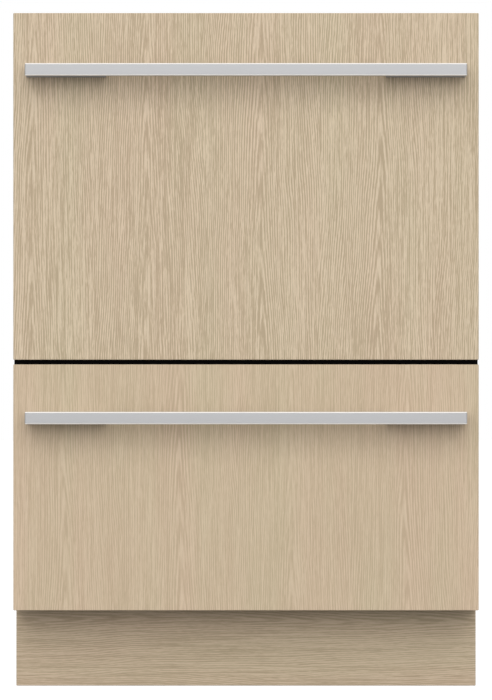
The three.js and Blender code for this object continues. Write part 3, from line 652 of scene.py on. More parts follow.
# %% [markdown]
# ## Metals
#
# The handles are satin anodised aluminium, brushed along their length: fine lines that change the roughness
# more than the colour. The chassis is galvanised sheet, whose zinc sets in flat crystals about a centimetre
# across, each with its own shade. The slides are zinc plated, and the rail between the drawers is black
# powder coat, which is matt with a fine orange peel; its black is pushed to almost none, which also paints
# in the shade of the gap between the fronts.


# %% Metals
def brushed(name, color, stretch, roughness=0.3, metal=1.0):
    """Metal with fine lines. The stretch is large on the axes that the lines run across."""
    finish = Finish(name, color, roughness, metal)
    lines = finish.noise(stretch, detail=3.0)
    cloud = finish.noise((6, 6, 6), detail=1.0)
    finish.set("Roughness", roughness + (lines - 0.5) * 0.25 + (cloud - 0.5) * 0.08)
    finish.set("Base Color", finish.mix(shaded(color, 0.86), color, lines * 0.8 + cloud * 0.2))
    finish.bump(lines, 0.00003, 0.5)
    return finish.material


def galvanised(name):
    """Sheet with the flat crystals of a zinc coat."""
    finish = Finish(name, paint(170, 174, 178), 0.42, 0.85)
    cells = finish.node("ShaderNodeTexVoronoi", None, {"Vector": finish.place(), "Scale": 120}, "Color")
    crystal = finish.node("ShaderNodeRGBToBW", None, {0: cells})
    shade = crystal * 0.45 + finish.noise((5, 5, 5)) * 0.55
    finish.set("Base Color", finish.ramp(shade, (0.25, paint(162, 166, 170)), (0.75, paint(180, 183, 186))))
    finish.set("Roughness", 0.4 + crystal * 0.08)
    finish.bump(crystal, 0.00005, 0.12)
    return finish.material


def powder_coat(name, color):
    """Matt paint with a fine orange peel."""
    finish = Finish(name, color, 0.55)
    finish.set("Specular IOR Level", 0.05)
    peel = finish.noise((700, 700, 700))
    finish.set("Roughness", 0.5 + peel * 0.15)
    finish.bump(peel, 0.00008, 0.4)
    return finish.material


BAR_BRUSH = (25, 2200, 2200)
aluminium_bar = brushed("aluminium_bar", paint(166, 166, 167), BAR_BRUSH, 0.42, 0.5)
# painted highlight: the pale colour of the bar's front chamfers stands for light along its edges
painted_highlight_aluminium = brushed("painted_highlight_aluminium", paint(240, 236, 230), BAR_BRUSH, 0.35, 0.2)
# painted shade: the feet are coloured darker than the bar to stand for the shade under them
foot_aluminium = brushed("foot_aluminium", paint(150, 150, 151), BAR_BRUSH, 0.42, 0.5)
galvanised_sheet = galvanised("galvanised_sheet")
slide_steel = brushed("slide_steel", paint(180, 183, 187), (1500, 18, 1500))
# a real black coat, pushed to near-zero black as painted shade for the gap between the fronts
black_sheet = powder_coat("black_sheet", paint(1, 1, 1))
copper = brushed("copper_winding", paint(176, 98, 58), (600, 600, 2400), 0.35)
bright_steel = brushed("bright_steel", paint(196, 198, 201), (500, 500, 500), 0.22)
print("metals:", aluminium_bar.name, galvanised_sheet.name, slide_steel.name, black_sheet.name)

# %% [markdown]
# ## Plastics, rubber and coated wire
#
# Moulded plastic is never quite smooth. The mould's grain is a fraction of a millimetre across, and large
# walls drift a little in shade where the plastic cooled. One function makes all of them, with the grain's
# size and depth as what sets a soft tub apart from a hard knob. Rubber is the same with a duller skin.


# %% Plastics
def moulded(name, color, roughness, grain_per_metre=1500, grain_depth=0.00006, drift=0.08):
    """Plastic or rubber with the mould's grain. The drift is how far its shade wanders from the colour."""
    finish = Finish(name, color, roughness)
    grain = finish.noise((grain_per_metre,) * 3)
    cloud = finish.noise((7, 7, 7))
    shades = shaded(color, 1 - drift), shaded(color, 1 + drift)
    finish.set("Base Color", finish.mix(*shades, cloud * 0.7 + grain * 0.3))
    finish.set("Roughness", roughness - 0.05 + grain * 0.12)
    finish.bump(grain, grain_depth, 0.5)
    return finish.material


tub_plastic = moulded("tub_plastic", paint(186, 190, 193), 0.4)
dark_plastic = moulded("dark_plastic", paint(46, 48, 51), 0.5)
pale_plastic = moulded("pale_plastic", paint(218, 220, 221), 0.42)
rack_wire = moulded("rack_wire", paint(146, 152, 157), 0.36, 900, 0.00004, 0.05)
black_rubber = moulded("black_rubber", paint(30, 30, 31), 0.78, 2200, 0.00005, 0.12)
gloss_black = moulded("gloss_black", paint(12, 12, 13), 0.12, 400, 0.00001, 0.05)
lamp_white = moulded("lamp_white", paint(236, 238, 240), 0.25, 800, 0.00001, 0.03)
print("plastics:", tub_plastic.name, dark_plastic.name, pale_plastic.name, rack_wire.name)

# %% [markdown]
# ## Oak fronts and kick panel
#
# A front is a 20 mm board with a thin oak band on its four edges and a fine chamfer, so that light catches
# its rim. The board is a block with its edges bevelled. The bands at the top and bottom run level, so those
# faces take the level grain. The kick panel below is set back 60 mm, and its colours are set slightly darker
# than the fronts'.

# %% Fronts and kick panel
EDGE_ROUND = 0.9


def board(name, node, finish, body):
    """A front or kick board, with bands of level grain on the ends of upright grain."""
    piece = soft_block(name, *box(node), EDGE_ROUND)
    piece.data.materials.append(finish)
    piece.data.materials.append(oak_band)
    for face in piece.data.polygons:
        face.material_index = int(abs(face.normal.z) > 0.5 and finish != oak_kick)
    install(piece, finish, body, node)


board("upper_front_board", "upper_front_panel", oak_front, "upper_drawer")
board("lower_front_board", "lower_front_panel", oak_calm, "lower_drawer")
board("kick_board", "kick_panel", oak_kick, "chassis")
print("boards: 3")

# %% [markdown]
# ## Handles
#
# Each handle is a flat aluminium bar, 16 mm high, that stands 36 mm off the oak on two broad feet. The
# chamfers on the bar's front edges are painted a pale cream, a painted highlight for the light line along
# its upper edge. The feet are painted darker than the bar, as painted shade for the dark under them.
# A foot has a base plate where it meets the oak and a slightly slimmer neck.

# %% Handles
BAR_CHAMFER = 1.3
FOOT_PLATE = 3
FOOT_NECK = 0.8  # how much slimmer the neck is than the plate, on each side

for drawer in DRAWERS:
    body = f"{drawer}_drawer"
    node = f"{drawer}_handle_bar"
    handle_bar = soft_block(f"{drawer}_bar", *box(node), BAR_CHAMFER, 3)
    handle_bar.data.materials.append(aluminium_bar)
    handle_bar.data.materials.append(painted_highlight_aluminium)
    for face in handle_bar.data.polygons:  # the chamfers of the front edges take the painted highlight
        face.material_index = int(0.2 < abs(face.normal.z) < 0.98 and face.normal.y < -0.2)
    install(handle_bar, aluminium_bar, body, node)
    for side in SIDES:
        node = f"{drawer}_{side}_handle_foot"
        low, high = box(node)
        plate_front = high.y - FOOT_PLATE
        foot = block(f"{drawer}_{side}_bar_foot", (low.x, plate_front, low.z), high)
        step_face(foot, (0, -1, 0), FOOT_NECK, plate_front - low.y)
        install(round_edges(foot, 0.5), foot_aluminium, body, node)
print("handles: 2 bars on 4 feet")

# %% [markdown]
# ## Chassis
#
# The shell of a built-in washer is thin galvanised sheet, folded at its edges. A flat sheet drums and
# bends, so fields are pressed into it. Each sheet starts as a copy of its solid, which already has the
# slots for the lids and the notches for the slides. The fields are cut out with bisecting planes, inset,
# and pushed in by a few millimetres, and the folds get a small radius. Two columns of vent slots are cut
# into the back.

# %% Sheets
FOLD = 0.45
DEEP = 2.6
SHALLOW = 1.4  # a drain hose hangs close behind these
DRAFT = 1.2  # the slope's width for its depth
SIDE_FIELDS = ((125, 262), (432, 540), (565, 672))
SIDE_MARGIN = 40
REAR_FIELDS = ((150, 350, SHALLOW), (385, 585, SHALLOW), (620, 820, DEEP))
REAR_MARGIN = 50
TOP_FIELDS = ((-250, -20), (20, 250))
TOP_MARGIN = 60
VENT_COLUMNS = (-60, 60)
VENT_LEVELS = range(670, 780, 15)
VENT_REACH = 35  # to each side of a column
VENT_HEIGHT = 4
CUT = 5  # how far a cutter reaches past what it cuts


def press_field(piece, low, high, way, depth):
    """Presses a field into a sheet, between two corners, against the way that its outside faces."""
    way = Vector(way)
    across = [axis for axis in range(3) if abs(way[axis]) < 0.5]
    for axis in across:
        flat = Vector([int(other == axis) for other in range(3)])
        for corner in (low, high):
            pick(piece, "FACE")
            bpy.ops.mesh.bisect(plane_co=flat * corner[axis] * MM, plane_no=flat)

    def inside(face):
        spot = face.calc_center_median() / MM
        return abs(face.normal.dot(way)) > 0.9 and all(low[a] < spot[a] < high[a] for a in across)

    pick(piece, "FACE", inside)
    bpy.ops.mesh.inset(thickness=depth * DRAFT * MM, depth=0, use_even_offset=True)
    bpy.ops.transform.translate(value=way * -depth * MM)
    clear()


def sheet_piece(node, name, finish, fields=()):
    """A sheet of the chassis, with fields of (low corner, high corner, way, depth) pressed into it."""
    piece = softened(node, name, FOLD)
    for field in fields:
        press_field(piece, *field)
    return install(piece, finish, "chassis", node)


for side, sign in SIDES.items():
    low, high = box(f"{side}_side_panel")
    y0, y1 = low.y + SIDE_MARGIN, high.y - SIDE_MARGIN
    fields = [((low.x, y0, z0), (high.x, y1, z1), (sign, 0, 0), DEEP) for z0, z1 in SIDE_FIELDS]
    sheet_piece(f"{side}_side_panel", f"{side}_side_sheet", galvanised_sheet, fields)

low, high = box("rear_panel")
x0, x1 = low.x + REAR_MARGIN, high.x - REAR_MARGIN
fields = [((x0, low.y, z0), (x1, high.y, z1), (0, 1, 0), depth) for z0, z1, depth in REAR_FIELDS]
rear_sheet = sheet_piece("rear_panel", "rear_sheet", galvanised_sheet, fields)
vent = block("vent", (-VENT_REACH, low.y - CUT, 0), (VENT_REACH, high.y + CUT, VENT_HEIGHT))
vents = at_places(vent, [(x, 0, z) for x in VENT_COLUMNS for z in VENT_LEVELS])
combine(rear_sheet, "DIFFERENCE", group("vents", *vents))

low, high = box("top_panel")
y0, y1 = low.y + TOP_MARGIN, high.y - TOP_MARGIN
fields = [((x0, y0, low.z), (x1, y1, high.z), (0, 0, 1), DEEP) for x0, x1 in TOP_FIELDS]
sheet_piece("top_panel", "top_sheet", galvanised_sheet, fields)
sheet_piece("base_pan", "base_tray", galvanised_sheet)
sheet_piece("middle_rail", "middle_channel", black_sheet)
print("sheets: 6, vent slots:", len(vents))

# %% [markdown]
# ## Screws
#
# Small countersunk screws hold the sheets. One screw is turned from a profile and gets a cross cut into
# its head. Then it is copied to each place, turned to face the right way, and all copies are joined into
# one piece.


# %% Screws
SCREW_INSET = 8  # from the edge of a sheet
REAR_SCREW_LEVELS = (130, 310, 490, 670, 845)
REAR_SCREW_LINES = (-150, 150)  # along the top edge
TOP_SCREW_LINES = (-215, 30, 280)
SIDE_SCREW_LEVELS = (210, 455, 620, 852)
SIDE_SCREW_LINES = (-232, 288)
RAIL_SCREW_LEVELS = (314, 723)
RAIL_SCREW_LINES = (-200, 20, 220)


def make_screw(radius, height):
    """The head of one screw, facing up, with a cross cut into it."""
    profile = [(0, -height), (radius * 0.7, -height), (radius, 0)]
    profile += [(radius * 0.85, height), (0, height * 1.3)]
    reach, slit = radius * 0.62, radius * 0.18
    foot, top = 0.2 * height, 2 * height
    slots = [block("slot", (-x, -y, foot), (x, y, top)) for x, y in ((reach, slit), (slit, reach))]
    return combine(turned("screw", profile, steps=12), "DIFFERENCE", *slots)


def screws(name, places, way, radius=3.6, height=0.5):
    """Screws at several places that face one way, as one piece of the chassis."""
    turn = Vector(way).to_track_quat("Z", "Y").to_matrix().to_4x4()
    copies = copies_of(make_screw(radius, height), [shift(place) @ turn for place in places])
    install(group(name, *copies), bright_steel, "chassis")
    print(name, len(places))


low, high = box("rear_panel")
columns = (low.x + SCREW_INSET, high.x - SCREW_INSET)
spots = [(x, high.y, z) for x in columns for z in REAR_SCREW_LEVELS]
spots += [(x, high.y, high.z - SCREW_INSET) for x in REAR_SCREW_LINES]
screws("rear_screws", spots, (0, 1, 0))
low, high = box("top_panel")
columns = (low.x + SCREW_INSET + 1, high.x - SCREW_INSET - 1)
screws("top_screws", [(x, y, high.z) for x in columns for y in TOP_SCREW_LINES], (0, 0, 1))
for side, sign in SIDES.items():
    face = box(f"{side}_side_panel")[sign > 0].x
    spots = [(face, y, z) for y in SIDE_SCREW_LINES for z in SIDE_SCREW_LEVELS]
    spots += [(face, y, z) for y in RAIL_SCREW_LINES for z in RAIL_SCREW_LEVELS]
    screws(f"{side}_side_screws", spots, (sign, 0, 0))

# %% [markdown]
# ## Levelling feet
#
# A foot is a plastic pad on a threaded steel stem, with a hexagon below the tray to turn it by. The pad
# and the thread are turned from one profile each, the thread as a zigzag. The hexagon is a six-sided
# cylinder with its edges bevelled.

# %% Feet
THREAD_PITCH = 2.4
THREAD_DEPTH = 0.7
STEM_RADIUS = 5
PAD_TOP = 26
PAD_RIBS = 12
NUT_RADIUS = 13.5
NUT_TOP = 39.5
STEM_FOOT = 39


def zigzag(radius, depth, start, end, pitch, valley, crest):
    """The profile of a thread: a valley and a crest in each pitch, at these heights above its start."""
    profile = []
    while start < end:
        profile += [(radius - depth, start + valley), (radius, start + crest)]
        start += pitch
    return profile


for foot in [f"{end}_{side}_foot" for end in ("front", "rear") for side in SIDES]:
    low, high = box(foot)
    x, y = middle(foot).xy
    rim = (high.x - low.x) / 2
    profile = [(0, 0), (rim - 1.5, 0), (rim, 1.5), (rim, 6), (rim - 2, 8), (12, 13), (11, 15)]
    pad = turned(foot + "_pad", profile + [(11, PAD_TOP), (0, PAD_TOP)], (x, y, 0), steps=40)
    ribs = round_axis(block("rib", (10, -0.8, 10), (17, 0.8, 12.2)), PAD_RIBS, (x, y, 0))
    install(group(pad.name, pad, *ribs), dark_plastic, foot, foot)
    nut = rod(foot + "_nut", (x, y, PAD_TOP), (x, y, NUT_TOP), NUT_RADIUS, 6)
    install(round_edges(nut, 1.2), dark_plastic, foot)
    thread_end = high.z - THREAD_PITCH
    stem = zigzag(STEM_RADIUS, THREAD_DEPTH, STEM_FOOT, thread_end, THREAD_PITCH, 0, THREAD_PITCH / 2)
    stem = [(0, STEM_FOOT), *stem, (STEM_RADIUS - THREAD_DEPTH, high.z), (0, high.z)]
    install(turned(foot + "_stem", stem, (x, y, 0), steps=20), bright_steel, foot)
print("feet: 4")

# %% [markdown]
# ## Telescopic slides
#
# Each drawer hangs on two slides of three members: a rail on the chassis, a rail that follows at half the
# travel, and the runner on the tub. The rails are folded strip, so copies of their solids with a small
# bend radius are right. The rail that follows has a soft stop at its end.

# %% Rails
RAIL_BEND = 0.4
STOP_WIDTH = 6
STOP_LENGTH = 8
STOP_HEIGHT = 3

for drawer in DRAWERS:
    for side, sign in SIDES.items():
        for member, body in (("outer", "chassis"), ("middle", f"{drawer}_{side}_slide")):
            node = f"{drawer}_{side}_{member}_rail"
            rail = softened(node, node.replace("_rail", "_slide_rail"), RAIL_BEND, clamp=False)
            install(rail, slide_steel, body, node)
        low, high = box(node)
        corner = Vector((low.x if sign > 0 else high.x, high.y - 1, low.z + 2))
        size = Vector((sign * STOP_WIDTH, -STOP_LENGTH, STOP_HEIGHT))
        install(soft_block(f"{drawer}_{side}_stop", corner, corner + size, 0.6), black_rubber, body)
print("rails: 8")

# %% [markdown]
# ## The moulding behind each front
#
# Each oak board is screwed to a shallow plastic tray, which carries the controls on its top edge. The tray
# starts as a block whose front face is inset and pushed in. The button holes are cut, and then posts for
# the screws and two stiffeners go in. The strip on top is gloss black, with a row of small lamps.

# %% Drawer frames
FRAME_WALL = 3
STIFFENER_OFFSET = 130
POST_INSET = 52
CAP_RADIUS = 6
HOLE_SLIP = 0.5
STRIP_LEFT = 132  # from the power button
STRIP_RIGHT = 22  # from the start button
LAMPS = 6
LAMP_START = 30
LAMP_PITCH = 12
LAMP = [(0, -0.2), (1.3, -0.2), (1.3, 0), (0.78, 0.2), (0, 0.25)]


def button_spot(drawer, button):
    """The middle of the top of a button's cap."""
    node = f"{drawer}_{button}_button"
    return (*middle(node).xy, box(node)[1].z)


def cut_button_holes(piece, drawer, low, high):
    """Cuts the holes for a drawer's two buttons, between two heights."""
    for button in ("power", "start"):
        x, y = button_spot(drawer, button)[:2]
        hole = rod("hole", (x, y, low), (x, y, high), CAP_RADIUS + HOLE_SLIP, 32)
        combine(piece, "DIFFERENCE", hole)


for drawer in DRAWERS:
    body = f"{drawer}_drawer"
    node = f"{drawer}_drawer_frame"
    low, high = box(node)
    tray = block("tray", low, high)
    step_face(tray, (0, -1, 0), FRAME_WALL, FRAME_WALL - (high.y - low.y))
    round_edges(tray, 0.7)
    cut_button_holes(tray, drawer, high.z - 2 * FRAME_WALL, high.z + FRAME_WALL)
    half_wall = FRAME_WALL / 2
    back = high.y - half_wall
    depth = back - low.y
    profile = [(0, 0), (8, 0), (8, depth - 1), (7, depth), (2, depth), (2, depth / 2), (0, depth / 2)]
    foot, top = low.z + half_wall, high.z - half_wall
    stiffener = soft_block("rib", (-half_wall, low.y + 0.3, foot), (half_wall, back, top), 0.4)
    parts = at_places(stiffener, [(x, 0, 0) for x in (-STIFFENER_OFFSET, STIFFENER_OFFSET)])
    sides, levels = [(edge + POST_INSET, other - POST_INSET) for edge, other in zip(low.xz, high.xz)]
    post = turned("post", profile, way=(0, -1, 0), steps=24)
    parts += at_places(post, [(x, back, z) for x in sides for z in levels])
    install(group(f"{drawer}_front_tray", tray, *parts), dark_plastic, body, node)

    power_x, lamp_y = button_spot(drawer, "power")[:2]
    start_x = button_spot(drawer, "start")[0]
    strip_low = (power_x - STRIP_LEFT, low.y + 1, high.z - 0.1)
    strip_high = (start_x + STRIP_RIGHT, high.y - 1, high.z + 0.5)
    strip = soft_block(f"{drawer}_control_strip", strip_low, strip_high, 0.25)
    cut_button_holes(strip, drawer, high.z - FRAME_WALL, high.z + FRAME_WALL)
    install(strip, gloss_black, body)
    first = power_x - LAMP_START
    spots = [(first - k * LAMP_PITCH, lamp_y, strip_high[2]) for k in range(LAMPS)]
    lamps = at_places(turned("lamp", LAMP, steps=16), spots)
    install(group(f"{drawer}_lamps", *lamps), lamp_white, body)
print("frames: 2, lamps in each:", len(lamps))

# %% [markdown]
# ## Buttons
#
# A button is a pale cap with a soft rim and a dished top, on a flange that keeps it from falling out. It
# is one profile, spun round. The ring on the power button's top is a small raised circle.

# %% Buttons
CAP_RIM = [(CAP_RADIUS - x, z) for x, z in ((0, -0.6), (0.2, -0.2), (0.7, 0), (1.4, -0.15))]
RAISED_RING = [(3.1, -0.45), (2.9, -0.2), (2.2, -0.2), (2, -0.45)]

for drawer in DRAWERS:
    for button in ("power", "start"):
        node = f"{drawer}_{button}_button"
        x, y, top = button_spot(drawer, button)
        low, high = box(node)
        flange = (high.x - low.x) / 2
        rise = low.z - top
        profile = [(0, rise), (flange - 0.5, rise), (flange, rise + 0.5), (flange, rise + 3.5)]
        profile += [(flange - 0.5, rise + 4), (CAP_RADIUS, rise + 4), *CAP_RIM]
        profile += [*(RAISED_RING if button == "power" else ()), (0, -0.5)]
        install(turned(f"{drawer}_{button}_cap", profile, (x, y, top), steps=40), pale_plastic, node, node)
print("buttons: 4")

# %% [markdown]
# ## Tubs
#
# A tub is one big moulding. The outside, the rim, the two runners and the sump's bowl are joined with
# booleans, and then the inside and the hole for the pump's tower are cut out, as a mould would leave them.
# Its upright corners are rounded generously and its floor edges a little, so that it comes out of the
# mould. Thin ribs on the outside keep the walls from drumming.

# %% Tub sizes
TUB_WALL = 3
TUB_FLOOR = 4
RIM_WIDTH = 8
CORNER = 24
FLOOR_EDGE = 10
SEAL_OVERHANG = 2
RACK_TO_BACK = 9  # from the rack to the outside of the back wall
SUMP_RADIUS = 90
SUMP_DEPTH = 14
TOWER_RADIUS = 9
SLIDE_DROP = 60
RUNNER_HALF_HEIGHT = 18.5
RIB_STAND = 2.5
RIB_FOOT = 12
SIDE_RIBS = 6
SIDE_RIB_INSET = 50
BACK_RIBS = 8
BACK_RIB_INSET = 45

tub_low = {}  # the outside of each tub's walls, without its runners and elbow
tub_high = {}
for drawer in DRAWERS:
    low, high = box(f"{drawer}_tub")
    half = box(f"{drawer}_lid_seal")[1].x - SEAL_OVERHANG
    tub_low[drawer] = Vector((-half, low.y + RIM_WIDTH, low.z + SUMP_DEPTH))
    tub_high[drawer] = Vector((half, box(f"{drawer}_rack")[1].y + RACK_TO_BACK, high.z))
    print(drawer, "tub walls:", tub_low[drawer], tub_high[drawer])

# %% [markdown]
# The outside is fused from its shapes first and hollowed after that, so that no wall is left inside where
# two of them meet. The ribs need no boolean, because they only sink a millimetre into the wall.


# %% Tub shells
def rounded_block(name, low, high, corner, edge=0.0):
    """A block with rounded upright edges, and a radius round its underside where one is given."""

    def at_floor(corner_edge):
        return sharp(corner_edge) and max(v.co.z for v in corner_edge.verts) < low[2] * MM + 1e-5

    piece = round_edges(block(name, low, high), corner, 6, upright, False)
    return round_edges(piece, edge, 4, at_floor, False) if edge else piece


def spread(first, last, count):
    """Evenly spaced places, from the first to the last."""
    return [first + (last - first) * k / (count - 1) for k in range(count)]


def tub_outside(low, high, runner_x):
    """The walls, rim, runners and sump of a tub, all still solid."""
    shell = rounded_block("shell", low, high - Vector((0, 0, 1)), CORNER, FLOOR_EDGE)
    grow = Vector((RIM_WIDTH, RIM_WIDTH, 0))
    rim_low = (*(low - grow).xy, high.z - TUB_WALL)
    rim = round_edges(rounded_block("rim", rim_low, high + grow, CORNER + RIM_WIDTH), 0.8)
    z0, z1 = [high.z - SLIDE_DROP + side * RUNNER_HALF_HEIGHT for side in (-1, 1)]
    runners = []
    for side in (-1, 1):
        ends = (side * (high.x - 1), low.y + 1, z0), (side * runner_x, high.y - 1, z1)
        runners.append(soft_block("runner", *ends, 1.5, 3))
    profile = [(0, -SUMP_DEPTH), (SUMP_RADIUS - 3, -SUMP_DEPTH), (SUMP_RADIUS + 2, 3 - SUMP_DEPTH)]
    profile += [(SUMP_RADIUS + TUB_WALL, 8 - SUMP_DEPTH), (SUMP_RADIUS + TUB_WALL, 1), (0, 1)]
    bowl = turned("bowl", profile, (0, (low.y + high.y) / 2, low.z), steps=48)
    return combine(shell, "UNION", rim, *runners, bowl)


def tub_hollows(low, high):
    """What is cut out of a tub: its inside, the sump and the hole for the pump's tower."""
    inner_low = low + Vector((TUB_WALL, TUB_WALL, TUB_FLOOR))
    inner_high = high + Vector((-TUB_WALL, -TUB_WALL, CUT))
    hollow = rounded_block("hollow", inner_low, inner_high, CORNER - TUB_WALL, FLOOR_EDGE - TUB_WALL)
    profile = [(0, -SUMP_DEPTH), (SUMP_RADIUS - 6, -SUMP_DEPTH), (SUMP_RADIUS - 1.5, 4 - SUMP_DEPTH)]
    profile += [(SUMP_RADIUS, 9 - SUMP_DEPTH), (SUMP_RADIUS, 1), (0, 1)]
    floor = (0, (low.y + high.y) / 2, inner_low.z)
    sump = turned("sump", profile, floor, steps=48)
    under = (*floor[:2], low.z - 2 * SUMP_DEPTH)
    return hollow, sump, rod("tower_hole", under, floor, TOWER_RADIUS + HOLE_SLIP, 32)


def tub_ribs(low, high):
    """Thin upright ribs on the sides and the back of a tub."""
    foot = low.z + RIB_FOOT
    top = high.z - SLIDE_DROP - RUNNER_HALF_HEIGHT + 1
    half_depth = (RIB_STAND + 1) / 2
    rib = soft_block("rib", (-half_depth, -1, foot), (half_depth, 1, top), 0.5, 1)
    x = high.x - 1 + half_depth
    places = spread(low.y + SIDE_RIB_INSET, high.y - SIDE_RIB_INSET, SIDE_RIBS)
    ribs = at_places(rib, [(side * x, y, 0) for y in places for side in (-1, 1)])
    outer = (1, high.y + RIB_STAND, high.z - TUB_WALL + 1)
    rib = soft_block("rib", (-1, high.y - 1, foot), outer, 0.5, 1)
    places = spread(low.x + BACK_RIB_INSET, high.x - BACK_RIB_INSET, BACK_RIBS)
    return ribs + at_places(rib, [(x, 0, 0) for x in places])


for drawer in DRAWERS:
    low, high = tub_low[drawer], tub_high[drawer]
    shell = tub_outside(low, high, box(f"{drawer}_tub")[1].x)
    combine(shell, "DIFFERENCE", *tub_hollows(low, high))
    tub = group(f"{drawer}_wash_tub", shell, *tub_ribs(low, high))
    install(tub, tub_plastic, f"{drawer}_drawer", f"{drawer}_tub")
print("tubs: 2, floors", [round(tub_low[drawer].z + TUB_FLOOR, 1) for drawer in DRAWERS])

# %% [markdown]
# ## Drain elbows
#
# At the back of each tub a pipe comes out and turns down for the drain hose. A wire path with one round
# bend makes the pipe, and two turned collars make the joint on the wall and the stop for the hose.

# %% Drain elbows
HOSE_RADIUS = 8
ELBOW = {"lower": Vector((180, 273.5, 312)), "upper": Vector((-180, 293.5, 583))}
ELBOW_REACH = 11  # from the middle of the bend down to the hose's stop
PIPE_BEND = 7.5
WALL_COLLAR = [(0, 0), (11, 0), (11, 2), (9, 4), (0, 4)]
STOP_COLLAR = [(0, 0), (9.5, 0), (10.5, 1), (10.5, 3), (9, 4), (0, 4)]

for drawer in DRAWERS:
    turn = ELBOW[drawer]
    wall = (turn.x, tub_high[drawer].y - 1, turn.z)
    foot = turn - Vector((0, 0, ELBOW_REACH))
    pipe = wires("pipe", [(bent([wall, turn, foot], PIPE_BEND, 8), False)], 2 * HOSE_RADIUS - 1, 24)
    collars = [turned("collar", WALL_COLLAR, wall, (0, 1, 0)), turned("collar", STOP_COLLAR, foot)]
    install(group(f"{drawer}_drain_elbow", pipe, *collars), tub_plastic, f"{drawer}_drawer")
print("elbows: 2")

# %% [markdown]
# ## Wash pumps
#
# Pump and motor share one flat housing under the sump, and a hollow tower rises from it to carry the spray
# arm. The whole outline is one profile, spun round. Cooling ribs round the foot are one rib, copied round
# the axis, and a connector sits at the side.

# %% Wash pumps
PUMP_RIBS = 36
PUMP_FOOT = 62  # the foot's radius
FOOT_HEIGHT = 12
SUMP_GAP = 0.3

for drawer in DRAWERS:
    low, high = box(f"{drawer}_wash_pump")
    x, y = middle(f"{drawer}_wash_pump").xy
    radius = (high.x - low.x) / 2
    top = tub_low[drawer].z - SUMP_DEPTH - low.z - SUMP_GAP
    tower = high.z - low.z
    profile = [(0, 0), (PUMP_FOOT - 12, 0), (PUMP_FOOT - 10, 1.5), (PUMP_FOOT - 3, 1.5), (PUMP_FOOT, 4)]
    profile += [(PUMP_FOOT, FOOT_HEIGHT), (radius - 4, FOOT_HEIGHT), (radius, 16), (radius, 21)]
    profile += [(radius - 1.5, 22), (radius - 1.5, 24), (radius, 25), (radius, top - 4), (radius - 4, top)]
    profile += [(TOWER_RADIUS + 4, top), (TOWER_RADIUS, top + 0.2), (TOWER_RADIUS, tower - 2)]
    profile += [(TOWER_RADIUS - 1.5, tower), (0, tower)]
    pump = turned(f"{drawer}_pump_housing", profile, (x, y, low.z), steps=64)
    rib = block("rib", (PUMP_FOOT - 2, -1, 3), (PUMP_FOOT + 6, 1, FOOT_HEIGHT + 1))
    ribs = round_axis(rib, PUMP_RIBS, (x, y, low.z))
    plug_low = (x + radius * 0.35, y + PUMP_FOOT * 0.55, low.z + 2)
    plug_high = (x + radius * 0.7, y + radius * 0.85, low.z + FOOT_HEIGHT + 1)
    ribs.append(soft_block("connector", plug_low, plug_high, 1))
    install(group(pump.name, pump, *ribs), dark_plastic, f"{drawer}_drawer", f"{drawer}_wash_pump")
print("pumps: 2")

# %% [markdown]
# ## Filters
#
# The filter is a shallow dome of finely perforated plastic over the sump. The dome is turned, and raised
# ribs run out from the grip in the middle. The perforations are about a millimetre wide, so they are left to
# the finish: a grid of dots in painted shade, the dark seen through a hole, that also dips the surface.


# %% Filters
def perforated(name, color, pitch):
    """Plastic with a grid of small holes."""
    finish = Finish(name, color, 0.45)
    spot = finish.place((1 / pitch, 1 / pitch, 1 / pitch))
    column, row = [finish.along(axis, spot).fraction() - 0.5 for axis in (0, 1)]
    hole = 0.09 - (column * column + row * row) > 0
    # painted shade: each hole is a dark dot, standing for the shade seen through it
    finish.set("Base Color", finish.mix(color, paint(18, 19, 20), hole * 0.85))
    finish.bump(1 - hole, 0.0003, 0.6)
    return finish.material


filter_mesh = perforated("filter_mesh", paint(84, 88, 92), 1.6 * MM)
FILTER_RIBS = 16
GRIPS = 3

for drawer in DRAWERS:
    low, high = box(f"{drawer}_filter_plate")
    axis = (*middle(f"{drawer}_filter_plate").xy, low.z)
    radius = (high.x - low.x) / 2
    hole = TOWER_RADIUS + HOLE_SLIP
    rise = high.z - low.z
    dome = [(hole, 0), (radius - 0.6, 0), (radius, 0.6), (radius, 1.8), (radius - 0.8, 2.4), (62, 2.6)]
    dome += [(46, 3.6), (34, 4.6), (24, rise - 0.6), (21, rise), (hole + 0.6, rise), (hole, rise - 0.6)]
    disc = turned(f"{drawer}_filter_dome", [*dome, dome[0]], axis, steps=64)
    install(disc, filter_mesh, f"{drawer}_drawer", f"{drawer}_filter_plate")
    ribs = round_axis(soft_block("rib", (64, -1, 1), (radius - 2, 1, 3.6), 0.4, 1), FILTER_RIBS, axis)
    ribs += round_axis(soft_block("grip", (12, -1.2, rise - 1), (20.5, 1.2, rise + 1.5), 0.5), GRIPS, axis)
    install(group(f"{drawer}_filter_ribs", *ribs), dark_plastic, f"{drawer}_drawer")
print("filters: 2")

# %% [markdown]
# ## Spray arms
#
# A spray arm is a flat hollow wing that water drives round. Each blade starts as a block whose end is
# drawn in, whose tip is rounded and whose long edges are softened. The second blade is the first one
# turned round. The hub and the jets are turned and set in.

# %% Spray arms
BLADE_ROOT = 17  # half the width of a blade at the hub
BLADE_TIP = 13
JET_PLACES = (90, 135, 180)
HUB_RADIUS = 22
HUB_RIBS = 8
HUB_RIB_START = 0.39  # radians, so that no rib lies along a blade
JET = [(0, -1), (4, -1), (4, 0.6), (2.6, 2), (1.3, 2), (0.9, 0.6), (0, 0.6)]


def lies_level(edge):
    """A test for sharp edges that run level."""
    return sharp(edge) and abs(edge.verts[0].co.z - edge.verts[1].co.z) < MM


def stands_at_tip(edge):
    """A test for the upright edges at the far end of the blade along X."""
    return upright(edge) and edge.verts[0].co.x > HUB_RADIUS * MM


